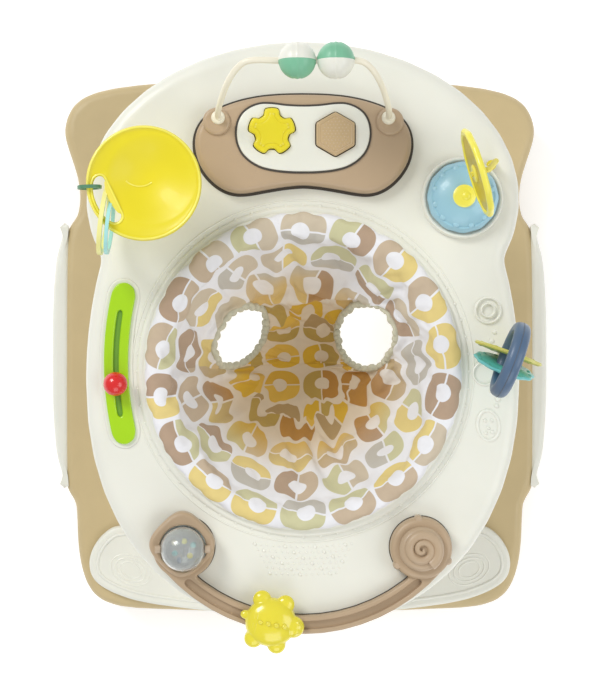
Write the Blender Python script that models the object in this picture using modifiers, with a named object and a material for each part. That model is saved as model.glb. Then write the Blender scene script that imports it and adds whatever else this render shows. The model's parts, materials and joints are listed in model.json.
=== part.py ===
"""Baby walker: a wheeled base, scissor legs, a toy tray, a turning fabric seat and the tray's toys.

Metres, +Z up. The origin is on the floor under the middle of the walker, and +Y is the way the child faces.
"""
import math

import bmesh
import bpy
from mathutils import Matrix, Vector

GAP = 0.0003            # between pieces that rest on each other
FIT = 0.0006            # round a piece that turns or slides
WALL = 0.003            # moulded shells

# Base
BASE_WIDTH = 0.661
BASE_LENGTH = 0.752
BASE_BOTTOM = 0.030
BASE_TOP = 0.090
BASE_EDGE = 0.012
BUMPER_DEPTH = 0.016
BUMPER_SPAN = (-0.206, 0.179)
BUMPER_LEVELS = (0.044, 0.080)
DECK_THICKNESS = 0.012
DECK_FRONT = -0.249
STOPPER_LENGTH = 0.160
STOPPER_BOTTOM = 0.010

# Wheels
WHEEL_RADIUS = 0.024
WHEEL_WIDTH = 0.014
AXLE_RADIUS = 0.0025
AXLE_PLAY = 0.0001      # round an axle in its fork
FORK_THICKNESS = 0.003
CASTER_TRAIL = 0.016
PIN_RADIUS = 0.004
WHEEL_INSET = 0.061     # from the base's edge to a fork's pin
POCKET_RADIUS = 0.047

# Legs
LEG_LENGTH = 0.395
LEG_TUBE = 0.0075
LEG_LANES = 2 * LEG_TUBE + 0.001   # between the two frames' side tubes
LEG_PIN = 0.003
PIVOT_Y = 0.230         # the frames turn at the front and slide at the back
PIVOT_HEIGHT = 0.018    # above the base, and below the tray
TRACK_WALL = 0.002
FOLDED_ANGLE = math.radians(12)

# Tray
TRAY_WIDTH = 0.5206
TRAY_TOP = 0.460
TRAY_DEPTH = 0.042
TRAY_EDGE = 0.010
FRONT_LOBE = (0.1767, 0.1887)        # centre y and half length
REAR_LOBE = (-0.0406, 0.384, 0.2975)  # centre y, half length forwards and backwards
WAIST_Y = 0.105
BOTTOM_PLATE = 0.003

# Seat
SEAT_Y = -0.030
SEAT_RADIUS = 0.1905    # outer edge of the turning ring
SEAT_HOLE = 0.1895
SEAT_PLAY = 0.0015      # between the turning ring and its bearing
SEAT_DEPTH = 0.210      # of the sling below the tray's top
SLING_WALL = 0.004
LEG_HOLE = (0.081, 0.040, 0.031, 0.038)  # centre from the seat's middle, half sizes

# Console
CONSOLE_HEIGHT = 0.020
PLATE_HEIGHT = 0.003
STAR_PLACE = (-0.0372, 0.2513)
HEX_PLACE = (0.0380, 0.2502)
STAR_RADIUS = 0.0275
HEX_RADIUS = 0.0262
ARCH_WIRE = 0.0037
ARCH_TOP = (0.322, 0.582)            # y and z of the straight part
BEAD_RADIUS = 0.0212
BEAD_MIDDLE = 0.01375    # across, between the two beads
BEAD_PLACES = (BEAD_MIDDLE - BEAD_RADIUS - 0.00055, BEAD_MIDDLE + BEAD_RADIUS + 0.00055)

# Dish and its rings
DISH_PLACE = (-0.183, 0.186)
DISH_RADIUS = 0.067
DISH_HEIGHT = 0.557
DISH_BOWL = 0.052
DISH_BAR = 0.0625
RING_SLACK = 0.0026      # over the bar, inside each ring

# Slider
SLIDER_CENTRE = (0.143, -0.020)
SLIDER_RADIUS = 0.366
SLIDER_ENDS = (167.05, 193.2)
SLOT_ENDS = (170.5, 189.75)
BALL_ANGLE = 183.9
BALL_RADIUS = 0.0143

# Dial and flower
DIAL_PLACE = (0.190, 0.177)
DIAL_RADIUS = 0.044
FLOWER_PLACE = (0.198, 0.198, 0.555)
FLOWER_RADIUS = 0.0525
FLOWER_FACING = (0.955, 0.297)

# Large ring
RING_PLACE = (0.237, -0.016, 0.545)
RING_RADIUS = 0.0373
RING_TUBE = 0.0075
RING_ALONG = (-0.347, -0.938)

# Rear rail
RAIL_CENTRE = (0.0, -0.123)
RAIL_RADIUS = 0.2086
RAIL_HALF_WIDTH = 0.0107
RAIL_HEIGHT = 0.015
HOUSING_HEIGHT = 0.022
RATTLE_PLACE = (-0.1422, -0.2394)
SNAIL_PLACE = (0.1400, -0.2400)
HOUSING_RADIUS = 0.037
RATTLE_RADIUS = 0.0262
SNAIL_RADIUS = 0.0265
TURTLE_ANGLE = -101.1

LANE_A = SEAT_HOLE + 0.0225
LANE_B = LANE_A + LEG_LANES
OPENING_HALF = LANE_A - 0.017
TRAY_BOTTOM = TRAY_TOP - TRAY_DEPTH
LOW_PIVOT = BASE_TOP + PIVOT_HEIGHT
HIGH_PIVOT = TRAY_BOTTOM - PIVOT_HEIGHT
LEG_RISE = HIGH_PIVOT - LOW_PIVOT
LEG_REACH = math.sqrt(LEG_LENGTH ** 2 - LEG_RISE ** 2)
FOLDED_REACH = LEG_LENGTH * math.cos(FOLDED_ANGLE)
ON_TRAY = TRAY_TOP + GAP
CONSOLE_TOP = ON_TRAY + CONSOLE_HEIGHT

for old in list(bpy.data.objects):
    bpy.data.objects.remove(old)

PARTS = bpy.data.collections.new("baby_walker")
CUTTERS = bpy.data.collections.new("cutters")
CUTTERS.hide_render = True
for group in (PARTS, CUTTERS):
    bpy.context.scene.collection.children.link(group)


# Materials

def finish(name, colour, roughness=0.45, metallic=0.0):
    """A Principled material."""
    made = bpy.data.materials.new(name)
    made.use_nodes = True
    shader = made.node_tree.nodes["Principled BSDF"]
    shader.inputs["Base Color"].default_value = (*colour, 1.0)
    shader.inputs["Roughness"].default_value = roughness
    shader.inputs["Metallic"].default_value = metallic
    made.diffuse_color = (*colour, 1.0)
    return made


TAN = finish("tan_plastic", (0.56, 0.44, 0.22))
CREAM = finish("cream_plastic", (0.78, 0.78, 0.70))
BROWN = finish("brown_plastic", (0.44, 0.30, 0.20))
YELLOW = finish("yellow_plastic", (0.80, 0.68, 0.02), 0.3)
LIME = finish("lime_plastic", (0.36, 0.62, 0.01), 0.35)
RED = finish("red_plastic", (0.68, 0.01, 0.01), 0.3)
BLUE = finish("blue_plastic", (0.34, 0.57, 0.68), 0.35)
NAVY = finish("navy_plastic", (0.07, 0.13, 0.21), 0.4)
TEAL = finish("teal_plastic", (0.11, 0.50, 0.45), 0.35)
GREEN = finish("green_plastic", (0.20, 0.50, 0.32), 0.35)
CLEAR = finish("clear_plastic", (0.60, 0.60, 0.58), 0.1)
STEEL = finish("steel_tube", (0.55, 0.55, 0.56), 0.3, 1.0)
RUBBER = finish("rubber", (0.06, 0.06, 0.06), 0.8)
FABRIC = finish("seat_fabric", (0.75, 0.68, 0.55), 0.9)
BOARD = finish("circuit_board", (0.02, 0.20, 0.08), 0.5)
DARK = finish("dark_plastic", (0.10, 0.10, 0.10), 0.5)


# Outlines, as lists of (x, y)

def smooth_loop(points, steps=3):
    """A closed Catmull-Rom curve through the points."""
    count = len(points)
    made = []
    for i in range(count):
        a, b, c, d = (Vector(points[(i + k) % count]) for k in (-1, 0, 1, 2))
        for step in range(steps):
            t = step / steps
            made.append(((2 * b + (c - a) * t + (2 * a - 5 * b + 4 * c - d) * t ** 2
                          + (3 * b - a - 3 * c + d) * t ** 3) / 2)[:])
    return made


def mirrored(half):
    """The whole loop from its right half, whose first and last points are on the middle line."""
    return half + [(-x, y) for x, y in reversed(half[1:-1])]


def circle(radius, centre=(0, 0), count=24, lobes=0, depth=0.0):
    """A circle, or a lobed one."""
    made = []
    for i in range(count):
        turn = 2 * math.pi * i / count
        r = radius * (1 + depth * math.cos(lobes * turn))
        made.append((centre[0] + r * math.sin(turn), centre[1] + r * math.cos(turn)))
    return made


def oval(centre, half_x, half_y, turn=0.0, count=24):
    """An ellipse turned by an angle in degrees."""
    c, s = math.cos(math.radians(turn)), math.sin(math.radians(turn))
    return [(centre[0] + c * half_x * x - s * half_y * y, centre[1] + s * half_x * x + c * half_y * y)
            for x, y in circle(1, count=count)]


def arc_band(centre, radius, half_width, start, end, count=10, cap=4):
    """A round-ended band along an arc, with angles in degrees from +X."""
    start, end = math.radians(start), math.radians(end)

    def at(r, angle):
        return Vector((centre[0] + r * math.cos(angle), centre[1] + r * math.sin(angle)))

    angles = [start + (end - start) * i / count for i in range(count + 1)]
    outer = [at(radius + half_width, a) for a in angles]
    inner = [at(radius - half_width, a) for a in reversed(angles)]

    def round_end(middle, first):
        return [middle + half_width * Vector((math.cos(first + math.pi * i / cap),
                                              math.sin(first + math.pi * i / cap)))
                for i in range(1, cap)]

    far = round_end(at(radius, end), end)
    near = round_end(at(radius, start), start + math.pi)
    return [p[:] for p in outer + far + inner + near]


def base_outline():
    """The base's plan: broad front corners, a waist, and a straight side behind it."""
    half = [(0, 1.0), (0.40, 0.992), (0.68, 0.976), (0.865, 0.948), (0.962, 0.898), (1.0, 0.812), (0.985, 0.740),
            (0.947, 0.638), (0.934, 0.552), (0.948, 0.480), (0.982, 0.440), (0.996, 0.30), (1.0, 0.0),
            (1.0, -0.27), (0.996, -0.49), (0.977, -0.55), (0.950, -0.592), (0.944, -0.72), (0.926, -0.832),
            (0.877, -0.925), (0.770, -0.972), (0.55, -0.985), (0, -1.0)]
    return smooth_loop(mirrored([(x * BASE_WIDTH / 2, y * BASE_LENGTH / 2) for x, y in half]), 2)


def base_opening():
    """The hole in the middle of the base, for the child's feet."""
    rear = DECK_FRONT + 0.004
    half = [(0, 0.205), (0.10, 0.202), (0.165, 0.185), (OPENING_HALF, 0.140), (OPENING_HALF, 0.0),
            (OPENING_HALF, -0.120), (OPENING_HALF - 0.022, rear + 0.045), (0.12, rear + 0.005), (0, rear)]
    return smooth_loop(mirrored(half), 2)


def tray_outline():
    """Two rounded lobes that meet at a waist."""
    width = TRAY_WIDTH / 2
    front_y, front_b = FRONT_LOBE
    rear_y, rear_up, rear_down = REAR_LOBE
    last = math.acos((WAIST_Y - front_y) / front_b)
    half = [(width * math.sin(last * i / 12), front_y + front_b * math.cos(last * i / 12)) for i in range(13)]
    for i in range(1, 5):
        y = WAIST_Y + (rear_y - WAIST_Y) * i / 5
        half.append((width * math.sqrt(1 - ((y - rear_y) / rear_up) ** 2), y))
    for i in range(12):
        turn = math.pi / 2 * i / 11
        half.append((width * math.cos(turn) ** 0.909, rear_y - rear_down * math.sin(turn) ** 0.909))
    half[-1] = (0.0, half[-1][1])
    return mirrored(half)


def console_outline():
    """A kidney with its hollow side towards the child."""
    half = [(0, 0.2985), (0.05, 0.296), (0.09, 0.286), (0.118, 0.270), (0.129, 0.245), (0.123, 0.215),
            (0.103, 0.191), (0.078, 0.181), (0.045, 0.186), (0, 0.192)]
    return smooth_loop(mirrored(half), 2)


def button_plate_outline():
    """A dumb-bell round the two buttons."""
    half = [(0, 0.283), (0.022, 0.284), (0.050, 0.2865), (0.072, 0.275), (0.079, 0.252), (0.072, 0.228),
            (0.050, 0.212), (0.020, 0.207), (0, 0.2065)]
    return smooth_loop(mirrored(half), 2)


# Solids, all in world coordinates until they are held

def keep(obj, material, group=PARTS):
    """Puts an object in its collection, with its material."""
    for old in list(obj.users_collection):
        old.objects.unlink(obj)
    group.objects.link(obj)
    if material:
        obj.data.materials.clear()
        obj.data.materials.append(material)
    return obj


def from_bmesh(name, bm, material):
    """An object from a finished bmesh, shaded smooth except at its edges."""
    mesh = bpy.data.meshes.new(name)
    bmesh.ops.recalc_face_normals(bm, faces=bm.faces)
    bm.to_mesh(mesh)
    bm.free()
    mesh.shade_smooth()
    mesh.set_sharp_from_angle(angle=math.radians(40))
    return keep(bpy.data.objects.new(name, mesh), material)


def as_mesh(obj, material):
    """The evaluated shape of a curve or a modified object, as a welded mesh in its place."""
    name = obj.name
    bpy.context.view_layer.update()
    shape = obj.evaluated_get(bpy.context.evaluated_depsgraph_get())
    mesh = bpy.data.meshes.new_from_object(shape)
    mesh.transform(obj.matrix_world)
    bpy.data.objects.remove(obj)
    bm = bmesh.new()
    bm.from_mesh(mesh)
    bpy.data.meshes.remove(mesh)
    bmesh.ops.remove_doubles(bm, verts=bm.verts, dist=1e-6)
    return from_bmesh(name, bm, material)


def plate(name, loops, bottom, top, material=None, edge=0.0, inset=0.0, rounds=1):
    """A flat outline, with any holes, between two levels. Edge rounds it, and inset draws its sides in."""
    curve = bpy.data.curves.new(name, "CURVE")
    curve.dimensions = "2D"
    curve.fill_mode = "BOTH"
    for loop in loops:
        spline = curve.splines.new("POLY")
        spline.points.add(len(loop) - 1)
        for point, (x, y) in zip(spline.points, loop):
            point.co = (x, y, 0, 1)
        spline.use_cyclic_u = True
    curve.extrude = (top - bottom) / 2 - edge
    curve.bevel_depth = edge
    curve.bevel_resolution = rounds
    curve.offset = -edge - inset
    obj = bpy.data.objects.new(name, curve)
    obj.location.z = (top + bottom) / 2
    bpy.context.scene.collection.objects.link(obj)
    return as_mesh(obj, material)


def turned(name, profile, centre, material=None, steps=24, along=(0, 0, 1)):
    """A closed profile of (radius, height) turned about an axis through centre."""
    mesh = bpy.data.meshes.new(name)
    edges = [(i, i + 1) for i in range(len(profile) - 1)]
    if profile[0][0] > 0:
        edges.append((len(profile) - 1, 0))
    mesh.from_pydata([(r, 0, z) for r, z in profile], edges, [])
    obj = bpy.data.objects.new(name, mesh)
    bpy.context.scene.collection.objects.link(obj)
    screw = obj.modifiers.new("turn", "SCREW")
    screw.steps = screw.render_steps = steps
    screw.use_merge_vertices = True
    screw.merge_threshold = 1e-5
    obj.location = (centre[0], centre[1], centre[2])
    obj.rotation_euler = Vector(along).to_track_quat("Z", "Y").to_euler()
    return as_mesh(obj, material)


def tube(name, points, radius, material=None, cyclic=False):
    """A round bar through the points."""
    curve = bpy.data.curves.new(name, "CURVE")
    curve.dimensions = "3D"
    spline = curve.splines.new("POLY")
    spline.points.add(len(points) - 1)
    for point, place in zip(spline.points, points):
        point.co = (*place, 1)
    spline.use_cyclic_u = cyclic
    curve.bevel_depth = radius
    curve.bevel_resolution = 2
    curve.use_fill_caps = True
    obj = bpy.data.objects.new(name, curve)
    bpy.context.scene.collection.objects.link(obj)
    return as_mesh(obj, material)


def box(name, low, high, material=None):
    """A block between two corners."""
    bm = bmesh.new()
    bmesh.ops.create_cube(bm, size=1)
    bmesh.ops.scale(bm, vec=Vector(high) - Vector(low), verts=bm.verts)
    bmesh.ops.translate(bm, vec=(Vector(high) + Vector(low)) / 2, verts=bm.verts)
    return from_bmesh(name, bm, material)


def rod(name, radius, start, end, material=None, segments=16, end_radius=None):
    """A cylinder or cone between two points."""
    start, end = Vector(start), Vector(end)
    bm = bmesh.new()
    bmesh.ops.create_cone(bm, cap_ends=True, segments=segments, radius1=radius,
                          radius2=radius if end_radius is None else end_radius, depth=(end - start).length)
    turn = (end - start).to_track_quat("Z", "Y").to_matrix().to_4x4()
    bmesh.ops.transform(bm, matrix=Matrix.Translation((start + end) / 2) @ turn, verts=bm.verts)
    return from_bmesh(name, bm, material)


def ball(name, radius, centre, material=None, squash=(1, 1, 1), segments=16):
    """A sphere or an ellipsoid."""
    bm = bmesh.new()
    bmesh.ops.create_uvsphere(bm, u_segments=segments, v_segments=segments // 2, radius=radius)
    bmesh.ops.scale(bm, vec=squash, verts=bm.verts)
    bmesh.ops.translate(bm, vec=centre, verts=bm.verts)
    return from_bmesh(name, bm, material)


def boolean(target, operation, tools):
    """Adds one Boolean modifier for each tool, and puts the tools away."""
    for tool in tools:
        change = target.modifiers.new(tool.name, "BOOLEAN")
        change.operation = operation
        change.object = tool
        keep(tool, None, CUTTERS)
        tool.hide_render = True
        tool.display_type = "WIRE"
    return target


def cut(target, *tools):
    return boolean(target, "DIFFERENCE", tools)


def join(target, *tools):
    return boolean(target, "UNION", tools)


def joint(name, place):
    """An empty on a joint's axis."""
    empty = bpy.data.objects.new(name, None)
    empty.empty_display_size = 0.02
    empty.location = place
    PARTS.objects.link(empty)
    return empty


def hold(holder, *objects):
    """Parents objects to an empty and leaves them where they are."""
    for obj in objects:
        obj.parent = holder
        obj.location -= holder.location


def shell(name, loops, bottom, top, material, edge, wall=WALL):
    """A moulding that is open below, with walls of one thickness and a rounded top."""
    low = bottom - 2 * edge
    made = plate(name, loops, low, top, material, edge)
    cavity = plate(name + "_cavity", loops, low - edge, top - wall, None, max(edge - wall, 0.0), wall, 0)
    trim = box(name + "_trim", (-1, -1, low - edge), (1, 1, bottom))
    return cut(made, cavity, trim)


# Base

def wheel_places():
    """Name, place of the fork's pin, and whether it swivels."""
    x = BASE_WIDTH / 2 - WHEEL_INSET
    for side, sign in (("left", -1), ("right", 1)):
        yield "front_" + side, (sign * x, BASE_LENGTH / 2 - WHEEL_INSET - 0.012), True
        yield "rear_" + side, (sign * (x - 0.018), -BASE_LENGTH / 2 + WHEEL_INSET + 0.012), False


def make_base():
    """The tan shell, with a boss and a wheel pocket at each corner."""
    loops = [base_outline(), base_opening()]
    low = BASE_BOTTOM - 2 * BASE_EDGE
    base = plate("base_shell", loops, low, BASE_TOP, TAN, BASE_EDGE)
    bosses = [circle(PIN_RADIUS + 0.007, place, 16) for _, place, _ in wheel_places()]
    cavity = plate("base_cavity", loops + bosses, low - BASE_EDGE, BASE_TOP - WALL, None, BASE_EDGE - WALL, WALL, 0)
    cut(base, cavity, box("base_trim", (-1, -1, low - BASE_EDGE), (1, 1, BASE_BOTTOM)))
    fork_top = 2 * WHEEL_RADIUS + 0.006
    for name, (x, y), _ in wheel_places():
        cut(base, rod("pocket_" + name, POCKET_RADIUS, (x, y, 0), (x, y, fork_top + GAP), segments=24),
            rod("socket_" + name, PIN_RADIUS + FIT, (x, y, 0), (x, y, BASE_TOP - 2 * WALL), segments=16))

    deck_top = BASE_TOP + GAP + DECK_THICKNESS
    rear = BASE_LENGTH / 2
    half = [(0, DECK_FRONT), (0.12, DECK_FRONT - 0.002), (0.21, DECK_FRONT - 0.002), (0.262, DECK_FRONT - 0.003),
            (0.290, -0.283), (0.294, -0.312), (0.280, -rear + 0.042), (0.235, -rear + 0.022),
            (0.17, -rear + 0.011), (0.09, -rear + 0.003), (0, -rear + 0.0001)]
    plate("rear_deck", [smooth_loop(mirrored(half), 2)], BASE_TOP + GAP, deck_top, CREAM, 0.005)

    edge_x = BASE_WIDTH / 2 + GAP
    back, front = BUMPER_SPAN
    for side, sign in (("left", -1), ("right", 1)):
        outline = []
        for i in range(17):
            t = i / 16
            bow = BUMPER_DEPTH * (1 - abs(2 * t - 1) ** 3.0)
            outline.append((sign * (edge_x + 0.0006 + max(bow, 0.002)), back + (front - back) * t))
        outline += [(sign * (edge_x + 0.0004), front), (sign * (edge_x + 0.0004), back)]
        plate("bumper_" + side, [outline], *BUMPER_LEVELS, CREAM)
        x = sign * (BASE_WIDTH / 2 - 0.007)
        box("stopper_" + side, (x - 0.005, -STOPPER_LENGTH / 2, STOPPER_BOTTOM),
            (x + 0.005, STOPPER_LENGTH / 2, BASE_BOTTOM - GAP), RUBBER)


def make_fork(name, place, swivels):
    """A fork with its pin, the axle through it and the wheel on the axle."""
    trail = CASTER_TRAIL if swivels else 0.0
    x, y = place
    axle_y = y - trail
    half = WHEEL_WIDTH / 2 + 0.0015
    top = 2 * WHEEL_RADIUS + 0.006
    under = top - FORK_THICKNESS
    outer = half + FORK_THICKNESS
    fork = box(name + "_fork", (x - outer, axle_y - 0.010, under), (x + outer, y + 0.010, top), TAN)
    for sign in (-1, 1):
        low, high = sorted((sign * half, sign * outer))
        join(fork, box("ear", (x + low, axle_y - 0.008, WHEEL_RADIUS - 0.008),
                       (x + high, axle_y + 0.008, top - 0.001)))
    join(fork, rod("fork_pin", PIN_RADIUS, (x, y, top - 0.001), (x, y, BASE_TOP - 2 * WALL - 0.001)))
    cut(fork, rod("axle_hole", AXLE_RADIUS + AXLE_PLAY, (x - 0.03, axle_y, WHEEL_RADIUS),
                  (x + 0.03, axle_y, WHEEL_RADIUS)))
    axle = rod(name + "_axle", AXLE_RADIUS, (x - outer - 0.0015, axle_y, WHEEL_RADIUS),
               (x + outer + 0.0015, axle_y, WHEEL_RADIUS), STEEL)
    r, w = WHEEL_RADIUS, WHEEL_WIDTH / 2
    bore = AXLE_RADIUS + FIT / 2
    profile = [(r - 0.003, w), (r, w - 0.003), (r, 0.003 - w), (r - 0.003, -w), (bore, -w), (bore, w)]
    wheel = turned(name + "_wheel", profile, (x, axle_y, WHEEL_RADIUS), CREAM, 24, (1, 0, 0))
    if swivels:
        swivel = joint(name + "_swivel", (x, y, under))
        hold(swivel, fork, axle)
    hold(joint(name + "_spin", (x, axle_y, WHEEL_RADIUS)), wheel)


# Legs

def make_leg(name, lane, pivot_height, slide_height, pin_towards):
    """A U of tube: its cross bar turns in the tracks at one end and its pins slide at the other."""
    corner = 0.008
    along = Vector((0, -LEG_REACH, slide_height - pivot_height)).normalized()
    foot = Vector((lane, PIVOT_Y, pivot_height))
    tip = foot + along * LEG_LENGTH
    side = [tip + along * LEG_TUBE, foot + along * corner]
    for i in (1, 2):
        turn = math.pi / 2 * i / 3
        side.append(foot + along * corner * (1 - math.sin(turn)) - Vector((corner, 0, 0)) * (1 - math.cos(turn)))
    side.append(foot - Vector((corner, 0, 0)))
    path = side + [Vector((-p.x, p.y, p.z)) for p in reversed(side)]
    leg = tube(name, [p[:] for p in path], LEG_TUBE, STEEL)
    for sign in (-1, 1):
        end = lane + pin_towards * (LEG_TUBE + 0.0115)
        join(leg, rod(name + "_pin", LEG_PIN, (sign * lane, tip.y, tip.z), (sign * end, tip.y, tip.z), segments=12))
        middle = foot + along * LEG_LENGTH / 2
        cut(leg, rod(name + "_bore", LEG_PIN + GAP, (sign * (lane - 0.02), middle.y, middle.z),
                     (sign * (lane + 0.02), middle.y, middle.z), segments=16))
    return leg


def make_legs():
    """Both frames and the pins that cross them."""
    frame_a = make_leg("leg_frame_a", LANE_A, LOW_PIVOT, HIGH_PIVOT, -1)
    frame_b = make_leg("leg_frame_b", LANE_B, HIGH_PIVOT, LOW_PIVOT, 1)
    middle = (PIVOT_Y - LEG_REACH / 2, (LOW_PIVOT + HIGH_PIVOT) / 2)
    pins = []
    for side, sign in (("left", -1), ("right", 1)):
        inner, outer = LANE_A - LEG_TUBE - 0.0015, LANE_B + LEG_TUBE + 0.0015
        pins.append(rod("crossing_pin_" + side, LEG_PIN, (sign * inner, *middle), (sign * outer, *middle), STEEL))
    hold(joint("fold_at_base", (0, PIVOT_Y, LOW_PIVOT)), frame_a, *pins)
    hold(joint("fold_at_crossing", (0, *middle)), frame_b)


def make_track(name, sign, flat, opens, pivot_lane, height):
    """A channel that holds one frame's pivot and lets the other frame's pins slide."""
    wall_in = LANE_A - LEG_TUBE - 0.0015
    wall_out = LANE_B + LEG_TUBE + 0.0015
    deep = flat + opens * (PIVOT_HEIGHT + 0.011)
    back, front = PIVOT_Y - FOLDED_REACH - 0.015, PIVOT_Y + 0.015
    low, high = sorted((flat, deep))
    xs = sorted((sign * (wall_in - TRACK_WALL), sign * (wall_out + TRACK_WALL)))
    track = box(name, (xs[0], back, low), (xs[1], front, high), CREAM)
    room = sorted((flat + opens * 0.003, deep + opens * 0.01))
    xs = sorted((sign * wall_in, sign * wall_out))
    cut(track, box("channel", (xs[0], back - 0.01, room[0]), (xs[1], front + 0.01, room[1])))
    cut(track, rod("pivot_hole", LEG_TUBE + FIT, (sign * (wall_in - 0.01), PIVOT_Y, height),
                   (sign * (wall_in + 0.002), PIVOT_Y, height)))
    edge = wall_out if pivot_lane == "a" else wall_in
    xs = sorted((sign * (edge - 0.004), sign * (edge + 0.004)))
    start, end = PIVOT_Y - FOLDED_REACH - LEG_PIN, PIVOT_Y - LEG_REACH + LEG_PIN
    half = LEG_PIN + FIT
    cut(track, box("slot", (xs[0], start - 0.002, height - half), (xs[1], end + 0.002, height + half)))
    return track


# Tray

def make_tray():
    """The top moulding, its bottom plate, the tracks under it and the ring that the seat turns in."""
    hole = circle(SEAT_HOLE, (0, SEAT_Y), 32)
    outline = tray_outline()
    top = shell("tray_top", [outline, hole], TRAY_BOTTOM + BOTTOM_PLATE + 2 * GAP, TRAY_TOP, CREAM, TRAY_EDGE)
    bottom = plate("tray_bottom", [outline, circle(SEAT_HOLE + 0.001, (0, SEAT_Y), 32)],
                   TRAY_BOTTOM + GAP, TRAY_BOTTOM + GAP + BOTTOM_PLATE, CREAM, inset=0.001)
    made = [top, bottom]
    for side, sign in (("left", -1), ("right", 1)):
        made.append(make_track("tray_track_" + side, sign, TRAY_BOTTOM, -1, "b", HIGH_PIVOT))
        make_track("base_track_" + side, sign, BASE_TOP + GAP, 1, "a", LOW_PIVOT)
    r = SEAT_HOLE
    flange = ON_TRAY + 0.004
    profile = [(r + 0.0075, flange), (r + 0.0085, flange - 0.001), (r + 0.0085, ON_TRAY), (r - GAP, ON_TRAY),
               (r - GAP, TRAY_TOP - 0.030), (r - 0.0035, TRAY_TOP - 0.030), (r - 0.0035, flange)]
    made.append(turned("seat_bearing", profile, (0, SEAT_Y, 0), CREAM, 32))
    return made


def make_seat():
    """The ring that turns in the bearing, and the fabric sling that hangs in it."""
    low = ON_TRAY + 0.004 + GAP
    inner = SEAT_HOLE - 0.0035 - SEAT_PLAY
    profile = [(SEAT_RADIUS - 0.002, low + 0.006), (SEAT_RADIUS, low + 0.004), (SEAT_RADIUS, low),
               (inner, low), (inner, TRAY_TOP - 0.024), (inner - 0.004, TRAY_TOP - 0.024),
               (inner - 0.012, low), (inner - 0.012, low + 0.004), (inner - 0.010, low + 0.006)]
    ring = turned("seat_ring", profile, (0, SEAT_Y, 0), CREAM, 32)
    rim = inner - 0.012 - 2 * GAP
    outside = [(rim, low + 0.002), (rim - 0.001, low - 0.055), (rim - 0.012, low - 0.115),
               (rim - 0.036, low - 0.165), (rim - 0.072, low - 0.198), (rim - 0.120, TRAY_TOP - SEAT_DEPTH)]
    bottom = TRAY_TOP - SEAT_DEPTH
    inside = [(max(r - SLING_WALL, 0.0), z + (SLING_WALL if z < low - 0.15 else 0.0))
              for r, z in reversed(outside)]
    profile = outside + [(0.0, bottom), (0.0, bottom + SLING_WALL)] + inside
    sling = turned("seat_sling", turned_open(profile), (0, SEAT_Y, 0), FABRIC, 32)
    x, y, half_x, half_y = LEG_HOLE
    for sign in (-1, 1):
        cut(sling, plate("leg_hole", [oval((sign * x, SEAT_Y + y), half_x, half_y, sign * 20)],
                         bottom - 0.02, bottom + 0.12))
    hold(joint("seat_turn", (0, SEAT_Y, TRAY_TOP)), ring, sling)
    return ring, sling


def turned_open(profile):
    """The same profile started on its axis, so that it closes there."""
    first = next(i for i, (r, _) in enumerate(profile) if r == 0.0)
    return profile[first + 1:] + profile[:first + 1]


# Console

def make_console():
    """The housing with its plate, buttons, board, speaker and battery door."""
    outline = console_outline()
    housing = shell("console_housing", [outline], ON_TRAY, CONSOLE_TOP, BROWN, 0.004)
    plate_low = CONSOLE_TOP + GAP
    plate_top = plate_low + PLATE_HEIGHT
    face = plate("console_plate", [button_plate_outline()], plate_low, plate_top, CREAM, 0.001)
    buttons = (("star_button", STAR_PLACE, circle(STAR_RADIUS, STAR_PLACE, 30, 5, 0.13),
                circle(STAR_RADIUS + FIT, STAR_PLACE, 30, 5, 0.13), YELLOW),
               ("hexagon_button", HEX_PLACE, circle(HEX_RADIUS, HEX_PLACE, 6),
                circle(HEX_RADIUS + 1.2 * FIT, HEX_PLACE, 6), TAN))
    low = ON_TRAY + 0.0095
    for name, place, cap, hole, material in buttons:
        for target in (housing, face):
            cut(target, plate(name + "_hole", [hole], ON_TRAY + 0.002, plate_top + 0.01))
        button = plate(name, [cap], low, plate_top + 0.0065, material, 0.0015)
        hold(joint(name + "_press", (*place, low)), button)
    board = box("circuit_board", (-0.070, 0.236, ON_TRAY + GAP), (0.070, 0.272, ON_TRAY + 0.0019), BOARD)
    speaker = rod("speaker", 0.013, (-0.037, 0.2115, ON_TRAY + GAP), (-0.037, 0.2115, ON_TRAY + 0.006), DARK)
    door = box("battery_door", (-0.035, 0.205, TRAY_BOTTOM - 0.0027), (0.035, 0.250, TRAY_BOTTOM), CREAM)
    return [housing, face, board, speaker, door]


def make_arch():
    """The wire arch over the console and the two beads on its straight top."""
    y, z = ARCH_TOP
    foot = CONSOLE_TOP + GAP
    side = [(0.1007, 0.2697, foot + 0.003), (0.1022, 0.274, foot + 0.014), (0.1030, 0.286, foot + 0.040),
            (0.0990, 0.300, foot + 0.065), (0.0915, 0.311, foot + 0.084), (0.0800, 0.319, z - 0.006),
            (0.0665, y, z)]
    path = side + [(-a, b, c) for a, b, c in reversed(side)]
    arch = tube("bead_arch", path, ARCH_WIRE, CREAM)
    for sign in (-1, 1):
        join(arch, rod("arch_foot", 0.012, (sign * 0.1007, 0.2697, foot), (sign * 0.1007, 0.2697, foot + 0.006),
                       segments=20, end_radius=0.010))
    for side_name, x in zip(("left", "right"), BEAD_PLACES):
        bore = ARCH_WIRE + FIT
        first = math.asin(bore / BEAD_RADIUS)
        turns = [first + (math.pi - 2 * first) * i / 8 for i in range(9)]
        profile = [(BEAD_RADIUS * math.sin(t), BEAD_RADIUS * math.cos(t)) for t in turns]
        bead = turned("bead_" + side_name, profile, (x, y, z), GREEN, 16, (1, 0, 0))
        hold(joint("bead_" + side_name + "_spin", (x, y, z)), bead)
    return [arch]


# Dish

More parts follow.
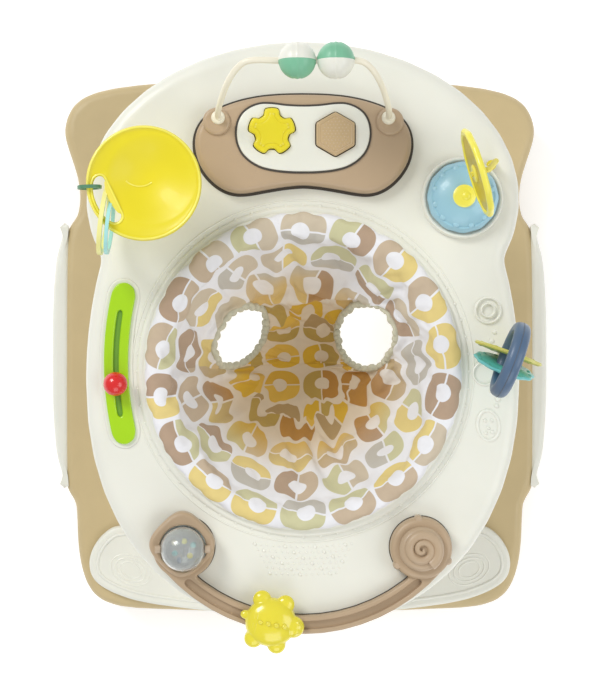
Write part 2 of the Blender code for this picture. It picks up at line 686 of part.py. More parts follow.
def make_ring(name, angle, radius, band, thick, along, material):
    """A flat ring that hangs on the dish's bar."""
    turn = math.radians(angle)
    x = DISH_PLACE[0] + DISH_BAR * math.cos(turn)
    y = DISH_PLACE[1] + DISH_BAR * math.sin(turn)
    inner = radius - band
    centre = (x, y, DISH_HEIGHT + RING_SLACK - inner)
    across = Vector((along[1], -along[0], 0)).normalized()
    profile = [(radius, thick / 2), (radius, -thick / 2), (inner, -thick / 2), (inner, thick / 2)]
    made = turned(name, profile, centre, material, 24 if radius > 0.02 else 14, across)
    hold(joint(name + "_swing", (x, y, DISH_HEIGHT - 0.002)), made)


def make_dish():
    """The post, the dish with its grip opening, and three loose rings."""
    x, y = DISH_PLACE
    bowl_low = DISH_HEIGHT - 0.019
    post = turned("dish_post", [(0.0, bowl_low - GAP), (0.010, bowl_low - GAP), (0.010, ON_TRAY + 0.02),
                                (0.016, ON_TRAY + 0.008), (0.026, ON_TRAY + 0.004), (0.026, ON_TRAY),
                                (0.0, ON_TRAY)], (x, y, 0), YELLOW, 20)
    r = DISH_RADIUS
    rim = DISH_HEIGHT
    centre = (x + 0.007, y + 0.004)
    dish = turned("dish", [(0.0, rim), (r - 0.0015, rim), (r, rim - 0.0015), (r, rim - 0.0025),
                           (r - 0.0015, rim - 0.004), (0.0, rim - 0.004)], (x, y, 0), YELLOW, 32)

    def bowl(radius, depth, lift):
        points = [(radius * math.sin(t * math.pi / 10), -depth * math.cos(t * math.pi / 10)) for t in range(6)]
        return [(0.0, lift)] + [(radius, lift)] + [(a, b) for a, b in reversed(points)]

    join(dish, turned("dish_bowl", bowl(DISH_BOWL, 0.018, 0.0), (*centre, rim - 0.001), steps=24))
    cut(dish, turned("dish_hollow", bowl(DISH_BOWL - 0.0035, 0.0145, 0.01), (*centre, rim - 0.001), steps=24))
    grip = (x + 0.0450 * math.cos(math.radians(204)), y + 0.0450 * math.sin(math.radians(204)))
    cut(dish, plate("grip_opening", [oval(grip, 0.0125, 0.027, 24)], rim - 0.03, rim + 0.01))
    hold(joint("dish_turn", (x, y, rim)), dish)
    make_ring("ring_yellow", 220, 0.0410, 0.007, 0.005, (-0.133, -0.991), YELLOW)
    make_ring("ring_teal", 229, 0.0335, 0.006, 0.004, (-0.113, -0.994), TEAL)
    make_ring("ring_green", 184, 0.0140, 0.0035, 0.004, (-1.0, -0.035), GREEN)
    return [post]


# Slider, dial, flower and large ring

def make_slider():
    """A curved plate with a slot, and the ball that runs in it."""
    low, top = ON_TRAY, ON_TRAY + 0.006
    track = plate("slider_plate", [arc_band(SLIDER_CENTRE, SLIDER_RADIUS, 0.0145, *SLIDER_ENDS)], low, top, LIME,
                  0.0015)
    cut(track, plate("slot", [arc_band(SLIDER_CENTRE, SLIDER_RADIUS, 0.0032, *SLOT_ENDS)], low - 0.01, top + 0.01),
        plate("under_slot", [arc_band(SLIDER_CENTRE, SLIDER_RADIUS, 0.0068, *SLOT_ENDS)], low - 0.01, low + 0.003))
    turn = math.radians(BALL_ANGLE)
    x = SLIDER_CENTRE[0] + SLIDER_RADIUS * math.cos(turn)
    y = SLIDER_CENTRE[1] + SLIDER_RADIUS * math.sin(turn)
    runner = ball("slider_ball", BALL_RADIUS, (x, y, top + BALL_RADIUS + GAP), RED)
    join(runner, rod("ball_stem", 0.0025, (x, y, low + 0.001), (x, y, top + 0.004), segments=12),
         rod("ball_foot", 0.0055, (x, y, low + GAP), (x, y, low + 0.0022), segments=16))
    hold(joint("slider_run", (*SLIDER_CENTRE, top)), runner)
    return [track]


def make_dial():
    """The dial in its socket, and the flower disc on the arm beside it."""
    x, y = DIAL_PLACE
    low = ON_TRAY
    socket = turned("dial_socket", [(0.0, low + 0.016), (0.004, low + 0.016), (0.005, low + 0.015),
                                    (0.005, low + 0.006), (0.0440, low + 0.006), (0.0450, low + 0.009),
                                    (0.0475, low + 0.009), (0.0490, low), (0.0, low)], (x, y, 0), CREAM, 28)
    fx, fy, fz = FLOWER_PLACE
    nx, ny = FLOWER_FACING
    ax, ay = x + 0.0345, y + 0.0390
    bend = (fx + nx * 0.0145, fy + ny * 0.0145)
    arm = tube("flower_arm", [(ax, ay, low + 0.002), (ax, ay, low + 0.045), (ax - 0.002, ay - 0.002, low + 0.070),
                              (*bend, fz - 0.006), (fx + nx * 0.011, fy + ny * 0.011, fz),
                              (fx - nx * 0.0075, fy - ny * 0.0075, fz)], 0.0035)
    join(socket, rod("arm_foot", 0.006, (ax, ay, low), (ax, ay, low + 0.006), segments=12), arm)
    dial_low = low + 0.006 + GAP
    dial = plate("dial", [circle(DIAL_RADIUS - 0.002, DIAL_PLACE, 30, 10, 0.03)], dial_low, dial_low + 0.010, BLUE,
                 0.002)
    join(dial, ball("dome", 0.030, (x, y, dial_low + 0.0106), squash=(1, 1, 0.34)),
         ball("hub", 0.0105, (x, y, dial_low + 0.0185)))
    cut(dial, rod("dial_bore", 0.005 + GAP, (x, y, low), (x, y, low + 0.017)))
    hold(joint("dial_turn", (x, y, dial_low)), dial)
    flower = plate("flower_disc", [circle(FLOWER_RADIUS - 0.002, (0, 0), 30, 10, 0.045),
                                   circle(0.0035 + FIT / 2, (0, 0), 16)], -0.0045, 0.0045, YELLOW, 0.0012)
    turn = Vector((nx, ny, 0)).to_track_quat("Z", "Y").to_matrix().to_4x4()
    flower.data.transform(turn)
    spin = joint("flower_spin", FLOWER_PLACE)
    flower.parent = spin
    return [socket]


def make_large_ring():
    """A ring held upright on a post, with two discs threaded on it."""
    centre = Vector(RING_PLACE)
    along = Vector((*RING_ALONG, 0)).normalized()
    count = 20
    points = [centre + RING_RADIUS * (along * math.sin(2 * math.pi * i / count)
                                      - Vector((0, 0, math.cos(2 * math.pi * i / count)))) for i in range(count)]
    ring = tube("large_ring", [p[:] for p in points], RING_TUBE, NAVY, True)
    foot = (centre.x, centre.y)
    bottom = centre.z - RING_RADIUS
    post = rod("ring_post", 0.0030, (*foot, ON_TRAY + 0.002), (*foot, bottom - RING_TUBE - GAP - 0.0005), CREAM, 12)
    join(post, rod("post_foot", 0.012, (*foot, ON_TRAY), (*foot, ON_TRAY + 0.006), end_radius=0.008))
    for name, offset, radius, material in (("disc_teal", 0.0078, 0.0370, TEAL),
                                           ("disc_yellow", -0.0078, 0.0410, YELLOW)):
        rise = RING_RADIUS - math.sqrt(RING_RADIUS ** 2 - offset ** 2)
        place = Vector((*foot, bottom + rise)) + along * offset
        hole = RING_TUBE + 0.0016
        profile = [(radius - 0.001, 0.0018), (radius, 0.001), (radius, -0.001), (radius - 0.001, -0.0018),
                   (hole, -0.0018), (hole, 0.0018)]
        disc = turned(name, profile, place, material, 24, along)
        hold(joint(name + "_spin", place), disc)
    return [ring, post]


# Rear rail

def make_rail():
    """The curved bar behind the seat, with a housing at each end."""
    low, top = ON_TRAY, ON_TRAY + RAIL_HEIGHT
    rail = plate("rear_rail", [arc_band(RAIL_CENTRE, RAIL_RADIUS, RAIL_HALF_WIDTH, -139, -41, 16)], low, top, BROWN,
                 0.0015)
    high = low + HOUSING_HEIGHT
    for name, place in (("rattle_housing", RATTLE_PLACE), ("snail_housing", SNAIL_PLACE)):
        join(rail, plate(name, [circle(HOUSING_RADIUS, place, 24)], low, high, edge=0.003))
    ball_z = high + 0.0068
    x, y = RATTLE_PLACE
    for sign in (-1, 1):
        join(rail, rod("lug", 0.006, (x + sign * 0.0290, y, ball_z), (x + sign * 0.0345, y, ball_z)),
             box("lug_foot", (x + sign * 0.03175 - 0.00275, y - 0.006, high - 0.004),
                 (x + sign * 0.03175 + 0.00275, y + 0.006, ball_z)))
    cut(rail, rod("ball_pocket", RATTLE_RADIUS + 0.0015, (x, y, low - 0.01), (x, y, high + 0.01), segments=24),
        rod("lug_hole", 0.0025 + GAP, (x - 0.05, y, ball_z), (x + 0.05, y, ball_z), segments=12),
        plate("groove", [arc_band(RAIL_CENTRE, RAIL_RADIUS, 0.0046, -131, -49, 16)], top - 0.008, top + 0.01))
    sx, sy = SNAIL_PLACE
    join(rail, rod("spigot", 0.004, (sx, sy, high - 0.002), (sx, sy, high + 0.010), segments=12))
    rattle = ball("rattle_ball", RATTLE_RADIUS, (x, y, ball_z), CLEAR)
    join(rattle, rod("rattle_axle", 0.0025, (x - 0.0335, y, ball_z), (x + 0.0335, y, ball_z), segments=12))
    hold(joint("rattle_spin", (x, y, ball_z)), rattle)
    base = high + GAP
    r = SNAIL_RADIUS
    knob = turned("snail_knob", [(0.0, base + 0.016), (r * 0.55, base + 0.0155), (r - 0.003, base + 0.012),
                                 (r, base + 0.009), (r, base + 0.002), (r - 0.002, base), (0.0, base)],
                  (sx, sy, 0), CREAM, 24)
    cut(knob, rod("knob_bore", 0.004 + GAP, (sx, sy, base - 0.01), (sx, sy, high + 0.0106), segments=12))
    hold(joint("snail_turn", (sx, sy, base)), knob)
    make_turtle(top)
    return [rail]


def make_turtle(rail_top):
    """A turtle that slides along the rail, with a pin in its groove."""
    turn = math.radians(TURTLE_ANGLE)
    out = Vector((math.cos(turn), math.sin(turn), 0))
    ahead = Vector((-out.y, out.x, 0))
    place = Vector((*RAIL_CENTRE, 0)) + RAIL_RADIUS * out
    low = rail_top + GAP + 0.0005

    def at(forward, outward, height):
        return place + ahead * forward + out * outward + Vector((0, 0, height))

    body = turned("turtle", [(0.0, low + 0.021), (0.010, low + 0.0195), (0.018, low + 0.015),
                             (0.0235, low + 0.008), (0.025, low + 0.003), (0.025, low), (0.0, low)],
                  (place.x, place.y, 0), YELLOW, 18)
    for forward, outward in ((0.019, 0.021), (0.019, -0.021), (-0.019, 0.021), (-0.019, -0.021)):
        join(body, rod("turtle_foot", 0.0085, at(forward, outward, low), at(forward, outward, low + 0.006),
                       segments=8, end_radius=0.0065))
    join(body, ball("turtle_head", 0.0105, at(0.031, 0, low + 0.0100)),
         rod("turtle_tail", 0.005, at(-0.020, 0, low + 0.003), at(-0.034, 0, low + 0.003), segments=10,
             end_radius=0.002),
         rod("turtle_pin", 0.0038, at(0, 0, low - 0.0065), at(0, 0, low + 0.002), segments=12))
    hold(joint("turtle_run", (*RAIL_CENTRE, rail_top)), body)


def main():
    make_base()
    for name, place, swivels in wheel_places():
        make_fork(name, place, swivels)
    make_legs()
    carried = make_tray() + make_console() + make_arch() + make_dish()
    carried += make_slider() + make_dial() + make_large_ring() + make_rail()
    make_seat()
    hold(joint("fold_at_tray", (0, PIVOT_Y, HIGH_PIVOT)), *carried)


main()
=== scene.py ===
"""Looks of the baby walker: mouldings, toys and the printed seat cover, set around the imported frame."""
import json
import math

import bmesh
import bpy
from mathutils import Matrix, Vector, noise

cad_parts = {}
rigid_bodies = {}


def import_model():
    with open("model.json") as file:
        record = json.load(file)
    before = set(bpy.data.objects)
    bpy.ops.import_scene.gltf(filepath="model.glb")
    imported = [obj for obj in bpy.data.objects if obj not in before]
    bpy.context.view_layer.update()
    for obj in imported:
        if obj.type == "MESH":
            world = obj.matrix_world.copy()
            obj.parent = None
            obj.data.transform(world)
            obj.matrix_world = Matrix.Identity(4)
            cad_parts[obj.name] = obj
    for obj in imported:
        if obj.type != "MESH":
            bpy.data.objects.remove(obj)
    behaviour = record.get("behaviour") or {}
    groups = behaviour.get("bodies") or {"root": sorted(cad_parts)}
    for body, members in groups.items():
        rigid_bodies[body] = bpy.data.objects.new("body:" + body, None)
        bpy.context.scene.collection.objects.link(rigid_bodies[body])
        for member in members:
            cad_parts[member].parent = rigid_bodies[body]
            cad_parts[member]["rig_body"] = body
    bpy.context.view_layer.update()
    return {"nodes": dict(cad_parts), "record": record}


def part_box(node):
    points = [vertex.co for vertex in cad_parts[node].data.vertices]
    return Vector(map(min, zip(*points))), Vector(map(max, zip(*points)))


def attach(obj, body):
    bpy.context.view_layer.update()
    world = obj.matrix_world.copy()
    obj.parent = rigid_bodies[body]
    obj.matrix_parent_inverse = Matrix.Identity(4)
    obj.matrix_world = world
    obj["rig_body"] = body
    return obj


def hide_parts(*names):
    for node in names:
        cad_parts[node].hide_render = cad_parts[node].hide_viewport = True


bl_info = {
    "name": "Baby Walker Looks",
    "version": (1, 0, 0),
    "blender": (4, 5, 0),
    "location": "3D View > Sidebar > Walker",
    "description": "Finishes the walker's mouldings, toys and seat cover around its frame",
    "category": "Object",
}

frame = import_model()
UP = Vector((0, 0, 1))
MM = 0.001


# Settings

class WalkerShellSettings(bpy.types.PropertyGroup):
    base_edge: bpy.props.FloatProperty(
        name="Base edge", description="Radius of the base's upper edge", default=0.013, unit="LENGTH")
    tray_edge: bpy.props.FloatProperty(
        name="Tray edge", description="Width of the tray's rounded edge", default=0.017, unit="LENGTH")
    tray_drop: bpy.props.FloatProperty(
        name="Tray drop", description="Height of the tray's rounded edge", default=0.012, unit="LENGTH")
    tan: bpy.props.FloatVectorProperty(
        name="Base colour", description="Colour of the base", subtype="COLOR", default=(0.575, 0.455, 0.245))
    cream: bpy.props.FloatVectorProperty(
        name="Tray colour", description="Colour of the tray and the bumpers", subtype="COLOR",
        default=(0.80, 0.80, 0.715))


class WalkerSeatSettings(bpy.types.PropertyGroup):
    motifs: bpy.props.IntProperty(
        name="Motifs", description="Printed motifs round the rim of the seat", default=18, min=6, max=40)
    row: bpy.props.FloatProperty(
        name="Row", description="Height of one row of motifs", default=0.053, unit="LENGTH")
    spare: bpy.props.FloatProperty(
        name="Spare cloth", description="Share by which the cover is bigger than its frame", default=0.11)
    most: bpy.props.FloatProperty(
        name="Furthest fold", description="How far a fold may stand from the cover's shape", default=0.012,
        unit="LENGTH")


class WalkerToySettings(bpy.types.PropertyGroup):
    brown: bpy.props.FloatVectorProperty(
        name="Console colour", description="Colour of the console and the rail", subtype="COLOR",
        default=(0.47, 0.345, 0.220))
    yellow: bpy.props.FloatVectorProperty(
        name="Toy yellow", description="Colour of the dish and the flower", subtype="COLOR",
        default=(0.80, 0.68, 0.012))
    blue: bpy.props.FloatVectorProperty(
        name="Dial colour", description="Colour of the dial", subtype="COLOR", default=(0.32, 0.57, 0.69))
    navy: bpy.props.FloatVectorProperty(
        name="Ring colour", description="Colour of the large ring", subtype="COLOR", default=(0.075, 0.135, 0.23))


class WalkerStageSettings(bpy.types.PropertyGroup):
    camera_height: bpy.props.FloatProperty(
        name="Camera height", description="Camera above the floor", default=2.605, unit="LENGTH")
    camera_side: bpy.props.FloatProperty(
        name="Camera side", description="Camera to the left of the walker's middle", default=0.025, unit="LENGTH")
    lens: bpy.props.FloatProperty(
        name="Lens", description="Focal length", default=93.4, unit="CAMERA")


# Materials

class Nodes:
    """Adds shader nodes to one material and wires them."""

    def __init__(self, name):
        self.material = bpy.data.materials.new(name)
        self.material.use_nodes = True
        self.tree = self.material.node_tree
        self.shader = self.tree.nodes["Principled BSDF"]
        self.coords = self.tree.nodes.new("ShaderNodeTexCoord")

    def add(self, kind, **settings):
        node = self.tree.nodes.new("ShaderNode" + kind)
        for key, value in settings.items():
            setattr(node, key, value)
        return node

    def link(self, source, target):
        self.tree.links.new(source, target)

    def feed(self, node, values):
        """Sets or wires a node's inputs, by number or by name."""
        for key, value in values.items():
            if isinstance(value, bpy.types.NodeSocket):
                self.link(value, node.inputs[key])
            else:
                node.inputs[key].default_value = value
        return node

    def math(self, operation, a, b=0.0, c=0.0):
        node = self.feed(self.add("Math", operation=operation), {0: a, 1: b, 2: c})
        return node.outputs[0]

    def vector(self, operation, a, b=(0, 0, 0)):
        node = self.feed(self.add("VectorMath", operation=operation), {0: a, 1: b})
        return node.outputs[0]

    def noise(self, scale, detail=2.0, roughness=0.5, coords=None):
        node = self.feed(self.add("TexNoise"), {
            "Vector": coords or self.coords.outputs["Object"], "Scale": scale, "Detail": detail,
            "Roughness": roughness})
        return node.outputs["Fac"]

    def span(self, value, low, high, new_low=0.0, new_high=1.0):
        node = self.feed(self.add("MapRange"), {
            "Value": value, "From Min": low, "From Max": high, "To Min": new_low, "To Max": new_high})
        return node.outputs[0]

    def mix(self, factor, first, second):
        node = self.add("Mix", data_type="RGBA")
        self.feed(node, {"Factor": factor, "A": first, "B": second})
        return node.outputs["Result"]

    def bump(self, height, strength, distance, normal=None):
        values = {"Height": height, "Strength": strength, "Distance": distance}
        if normal:
            values["Normal"] = normal
        return self.feed(self.add("Bump"), values).outputs[0]

    def ramp(self, value, colours, constant=False):
        node = self.add("ValToRGB")
        ramp = node.color_ramp
        ramp.interpolation = "CONSTANT" if constant else "LINEAR"
        share = len(colours) if constant else len(colours) - 1
        for i, colour in enumerate(colours):
            stop = ramp.elements[i] if i < 2 else ramp.elements.new(i / share)
            stop.position = i / share
            stop.color = (*colour, 1)
        self.link(value, node.inputs[0])
        return node.outputs[0]


def tinted(colour, share):
    """The colour made lighter or darker by a share."""
    return tuple(min(1.0, c * share) for c in colour)


def plastic(name, colour, roughness=0.42, coat=0.0, grain=0.25, mottle=0.035, under=0.0):
    """Moulded plastic: a fine spark-eroded grain, a faint mottle, and convex edges made paler as a painted highlight.
    """
    n = Nodes(name)
    cloud = n.span(n.noise(14, 3), 0.3, 0.7)
    body = n.mix(cloud, (*tinted(colour, 1 - mottle), 1), (*tinted(colour, 1 + mottle), 1))
    # Painted highlight: convex edges, found by pointiness, are mixed towards a paler copy of the colour.
    edge = n.span(n.add("NewGeometry").outputs["Pointiness"], 0.52, 0.60, 0.0, 0.35)
    painted_edge_highlight = n.mix(edge, body, (*tinted([0.8 * c + 0.2 for c in colour], 1.08), 1))
    n.link(painted_edge_highlight, n.shader.inputs["Base Color"])
    n.link(n.span(n.noise(45, 2), 0.3, 0.7, roughness - 0.05, roughness + 0.07), n.shader.inputs["Roughness"])
    n.shader.inputs["Coat Weight"].default_value = coat
    n.shader.inputs["Coat Roughness"].default_value = 0.08
    n.shader.inputs["Subsurface Weight"].default_value = under
    n.shader.inputs["Subsurface Radius"].default_value = (0.004, 0.003, 0.002)
    n.link(n.bump(n.noise(1500, 2, 0.6), grain, 0.00012), n.shader.inputs["Normal"])
    return n.material


def metal(name, colour, roughness, painted):
    """Bent steel tube, bare or under powder paint."""
    n = Nodes(name)
    streaks = n.noise(60, 4, 0.6)
    n.link(n.mix(n.span(streaks, 0.3, 0.7), (*tinted(colour, 0.93), 1), (*tinted(colour, 1.05), 1)),
           n.shader.inputs["Base Color"])
    n.link(n.span(streaks, 0.3, 0.7, roughness - 0.06, roughness + 0.08), n.shader.inputs["Roughness"])
    n.shader.inputs["Metallic"].default_value = 0.0 if painted else 1.0
    n.link(n.bump(n.noise(900, 2), 0.3, 0.0001), n.shader.inputs["Normal"])
    return n.material


def rubber(name, colour):
    n = Nodes(name)
    dust = n.span(n.noise(80, 5, 0.6), 0.35, 0.75)
    n.link(n.mix(dust, (*colour, 1), (*tinted(colour, 1.8), 1)), n.shader.inputs["Base Color"])
    n.link(n.span(dust, 0, 1, 0.7, 0.9), n.shader.inputs["Roughness"])
    n.link(n.bump(n.noise(1100, 3), 0.5, 0.0002), n.shader.inputs["Normal"])
    return n.material


def clear(name, colour):
    """Clear moulded plastic, a little clouded and finely scratched."""
    n = Nodes(name)
    scratches = n.noise(240, 6, 0.7)
    n.link(n.mix(n.span(scratches, 0.35, 0.7), (*colour, 1), (*tinted(colour, 0.94), 1)),
           n.shader.inputs["Base Color"])
    n.link(n.span(scratches, 0.3, 0.8, 0.02, 0.10), n.shader.inputs["Roughness"])
    n.shader.inputs["Transmission Weight"].default_value = 0.82
    n.shader.inputs["IOR"].default_value = 1.16
    n.shader.inputs["Coat Weight"].default_value = 0.6
    return n.material


def board(name, colour):
    """Green circuit board with copper tracks and solder."""
    n = Nodes(name)
    cells = n.feed(n.add("TexBrick"), {"Vector": n.coords.outputs["Object"], "Scale": 260.0,
                                       "Color1": (*colour, 1), "Color2": (*tinted(colour, 1.3), 1),
                                       "Mortar": (0.45, 0.25, 0.06, 1), "Mortar Size": 0.012})
    n.link(cells.outputs["Color"], n.shader.inputs["Base Color"])
    n.link(n.span(n.noise(300), 0.3, 0.7, 0.3, 0.5), n.shader.inputs["Roughness"])
    return n.material


PALE = [(0.46, 0.33, 0.23), (0.62, 0.53, 0.40), (0.55, 0.52, 0.46), (0.79, 0.63, 0.24), (0.62, 0.60, 0.36),
        (0.58, 0.46, 0.33)]
# Darker, warmer copies of the print colours: painted shade and bounce light for deep in the seat.
PAINTED_SHADE_INKS = [(0.50, 0.25, 0.05), (0.70, 0.42, 0.05), (0.78, 0.50, 0.08), (0.48, 0.33, 0.15), (0.74, 0.46, 0.035),
        (0.52, 0.36, 0.09)]


def printed_cloth(name):
    """White cotton printed with split rings, in rows, with painted shade and painted warm light deep in the seat, where
    light comes through.
    """
    n = Nodes(name)
    place = n.coords.outputs["UV"]
    cell = n.vector("FLOOR", place)
    local = n.vector("SUBTRACT", n.vector("FRACTION", place), (0.5, 0.5, 0))
    chance = n.feed(n.add("TexWhiteNoise", noise_dimensions="3D"), {"Vector": n.vector("ADD", cell, (7.3, 2.9, 0))})
    other = n.feed(n.add("TexWhiteNoise", noise_dimensions="3D"), {"Vector": n.vector("ADD", cell, (31.7, 17.1, 4))})
    quarter = n.math("MULTIPLY", n.math("FLOOR", n.math("MULTIPLY", chance.outputs["Value"], 4.0)), math.pi / 2)
    lean = n.math("MULTIPLY_ADD", other.outputs["Value"], 0.5, -0.25)
    turned_print = n.feed(n.add("VectorRotate", rotation_type="Z_AXIS"), {
        "Vector": local, "Angle": n.math("ADD", quarter, lean)})
    axes = n.feed(n.add("SeparateXYZ"), {0: turned_print.outputs[0]})
    x, y = axes.outputs[0], axes.outputs[1]

    def power(value):
        return n.math("POWER", n.math("ABSOLUTE", value), 2.5)

    outside = n.math("POWER", n.math("ADD", power(x), power(y)), 0.4)
    hole_x, hole_y = n.math("SUBTRACT", x, 0.02), n.math("SUBTRACT", y, 0.055)
    hole = n.math("SQRT", n.math("ADD", n.math("MULTIPLY", hole_x, hole_x), n.math("MULTIPLY", hole_y, hole_y)))
    ring = n.math("MULTIPLY", n.span(outside, 0.462, 0.452), n.span(hole, 0.182, 0.192))
    split = n.span(n.math("ABSOLUTE", n.math("SUBTRACT", x, 0.02)), 0.016, 0.024)
    inked = n.math("MULTIPLY", ring, split)
    half = n.math("GREATER_THAN", x, 0.02)
    pick_a, pick_b = (n.feed(n.add("SeparateColor"), {0: w.outputs["Color"]}).outputs[1] for w in (chance, other))
    height = n.feed(n.add("SeparateXYZ"), {0: n.coords.outputs["Object"]}).outputs[2]
    # Painted shade and painted bounce light: lower in the seat, the print and the white ground shift to darker, warmer
    # copies.
    depth = n.span(n.math("MULTIPLY_ADD", n.noise(9, 2), 0.05, height), 0.425, 0.335)
    pale = n.mix(half, n.ramp(pick_a, PALE, True), n.ramp(pick_b, PALE, True))
    shaded_ink = n.mix(half, n.ramp(pick_a, PAINTED_SHADE_INKS, True), n.ramp(pick_b, PAINTED_SHADE_INKS, True))
    ink = n.mix(depth, pale, shaded_ink)
    ground = n.mix(depth, (0.86, 0.86, 0.89, 1), (0.80, 0.68, 0.52, 1))
    soil = n.span(n.noise(30, 4), 0.3, 0.75, 1.0, 0.93)
    colour = n.mix(inked, ground, ink)
    dulled = n.add("Mix", data_type="RGBA", blend_type="MULTIPLY")
    n.feed(dulled, {"Factor": 1.0, "A": colour})
    n.link(soil, dulled.inputs["B"])
    n.link(dulled.outputs["Result"], n.shader.inputs["Base Color"])
    n.link(n.span(n.noise(200, 3), 0.3, 0.7, 0.78, 0.92), n.shader.inputs["Roughness"])
    n.shader.inputs["Sheen Weight"].default_value = 0.18
    n.shader.inputs["Sheen Roughness"].default_value = 0.5
    warp, weft = (n.feed(n.add("TexWave", wave_type="BANDS", bands_direction=d), {
        "Vector": place, "Scale": 26.0, "Distortion": 0.6}).outputs["Fac"] for d in ("X", "Y"))
    weave = n.bump(n.math("MULTIPLY", warp, weft), 0.35, 0.0003)
    n.link(n.bump(n.noise(70, 4, 0.6), 0.35, 0.0012, weave), n.shader.inputs["Normal"])
    return n.material


def plain_cloth(name, colour):
    """Plain binding tape with a rib."""
    n = Nodes(name)
    cloud = n.span(n.noise(160, 4, 0.6), 0.3, 0.7)
    n.link(n.mix(cloud, (*tinted(colour, 0.86), 1), (*tinted(colour, 1.06), 1)), n.shader.inputs["Base Color"])
    n.shader.inputs["Roughness"].default_value = 0.9
    n.shader.inputs["Sheen Weight"].default_value = 0.2
    n.link(n.bump(n.noise(700, 3, 0.6), 0.6, 0.0006), n.shader.inputs["Normal"])
    return n.material


FINISH = {}


def make_finishes(shell, toys):
    """One material for each slot of the record, and a few more for trims."""
    cream, tan, brown, yellow = (tuple(c) for c in (shell.cream, shell.tan, toys.brown, toys.yellow))
    FINISH.update({
        "tan_plastic": plastic("tan_plastic", tan, 0.46, grain=0.35),
        "cream_plastic": plastic("cream_plastic", cream, 0.40, 0.12, 0.22, 0.02, 0.05),
        "brown_plastic": plastic("brown_plastic", brown, 0.42, 0.05),
        "yellow_plastic": plastic("yellow_plastic", yellow, 0.44, 0.08, 0.12, under=0.06),
        "lime_plastic": plastic("lime_plastic", (0.37, 0.66, 0.0), 0.34, 0.25, 0.12),
        "red_plastic": plastic("red_plastic", (0.68, 0.012, 0.012), 0.25, 0.5, 0.08),
        "blue_plastic": plastic("blue_plastic", tuple(toys.blue), 0.36, 0.2, 0.15),
        "navy_plastic": plastic("navy_plastic", tuple(toys.navy), 0.38, 0.15, 0.2),
        "teal_plastic": plastic("teal_plastic", (0.10, 0.50, 0.50), 0.35, 0.2, 0.15),
        "green_plastic": plastic("green_plastic", (0.20, 0.50, 0.32), 0.4, 0.1, 0.15),
        "clear_plastic": clear("clear_plastic", (0.93, 0.95, 0.94)),
        "steel_tube": metal("steel_tube", (0.72, 0.72, 0.70), 0.38, True),
        "rubber": rubber("rubber", (0.055, 0.055, 0.055)),
        "seat_fabric": printed_cloth("seat_fabric"),
        "circuit_board": board("circuit_board", (0.02, 0.20, 0.08)),
        "dark_plastic": plastic("dark_plastic", (0.09, 0.085, 0.08), 0.55),
        "ivory": plastic("ivory_plastic", (0.85, 0.80, 0.64), 0.35, 0.2, 0.1),
        # A brighter yellow: the dial hub's own colour, and a painted highlight on the dish's rim, its smile and the
        # flower's rim.
        "yellow_and_painted_highlight": plastic("yellow_and_painted_highlight_plastic", (0.88, 0.80, 0.07), 0.34, 0.3, 0.1),
        "pale_yellow": plastic("pale_yellow_plastic", (0.86, 0.82, 0.25), 0.36, 0.2, 0.1),
        "lemon": plastic("lemon_plastic", (0.60, 0.57, 0.08), 0.36, 0.2, 0.1),
        "light_teal": plastic("light_teal_plastic", (0.33, 0.72, 0.70), 0.36, 0.2, 0.1),
        "deep_green": plastic("deep_green_plastic", (0.01, 0.17, 0.06), 0.4, 0.1, 0.1),
        "button_tan": plastic("button_tan_plastic", (0.55, 0.40, 0.22), 0.36, 0.2, 0.2),
        "turtle_yellow": plastic("turtle_yellow_plastic", (0.80, 0.70, 0.035), 0.2, 0.6, 0.05, under=0.1),
        "binding": plain_cloth("binding_cloth", (0.62, 0.60, 0.46)),
        # Painted shadow: a near-black plastic laid in the gaps round the console, its plate and the rail.
        "gap": plastic("painted_gap_shadow", (0.055, 0.045, 0.035), 0.6),
    })


# Outlines

def section(node, level):
    """The closed outlines, as (x, y), where a level plane cuts a CAD node, longest first."""
    bm = bmesh.new()
    bm.from_mesh(frame["nodes"][node].data)
    bmesh.ops.remove_doubles(bm, verts=bm.verts, dist=1e-6)
    cut = bmesh.ops.bisect_plane(bm, geom=bm.verts[:] + bm.edges[:] + bm.faces[:], plane_co=(0, 0, level),
                                 plane_no=(0, 0, 1), clear_inner=True, clear_outer=True)
    left = {e for e in cut["geom_cut"] if isinstance(e, bmesh.types.BMEdge)}
    loops = []
    while left:
        edge = left.pop()
        start, at = edge.verts
        loop = [start.co.xy.copy(), at.co.xy.copy()]
        while edge:
            edge = next((e for e in at.link_edges if e in left), None)
            if edge:
                left.discard(edge)
                at = edge.other_vert(at)
                loop.append(at.co.xy.copy())
        loops.append(loop[:-1])
    bm.free()
    return sorted(loops, key=around, reverse=True)


def around(loop):
    return sum((loop[i] - loop[i - 1]).length for i in range(len(loop)))


def area(loop):
    return sum(loop[i - 1].cross(loop[i]) for i in range(len(loop))) / 2


def evened(loop, step=0.003, rounds=6):
    """The outline as evenly spaced points, counterclockwise, with its facets smoothed away."""
    if area(loop) < 0:
        loop = loop[::-1]
    count = max(24, round(around(loop) / step))
    gap = around(loop) / count
    points, need = [], 0.0
    for i in range(len(loop)):
        a, b = loop[i - 1], loop[i]
        length = (b - a).length
        while need < length and len(points) < count:
            points.append(a.lerp(b, need / length))
            need += gap
        need -= length
    for _ in range(rounds):
        points = [(points[i - 1] + 2 * points[i] + points[(i + 1) % len(points)]) / 4 for i in range(len(points))]
    return points


def inwards(loop):
    """The unit normal at each point of a counterclockwise outline, towards its inside."""
    count = len(loop)
    made = []
    for i in range(count):
        along = loop[(i + 1) % count] - loop[i - 1]
        made.append(Vector((-along.y, along.x)).normalized())
    return made


def circle(radius, centre=(0, 0), count=48):
    return [Vector((centre[0] + radius * math.cos(2 * math.pi * i / count),
                    centre[1] + radius * math.sin(2 * math.pi * i / count))) for i in range(count)]


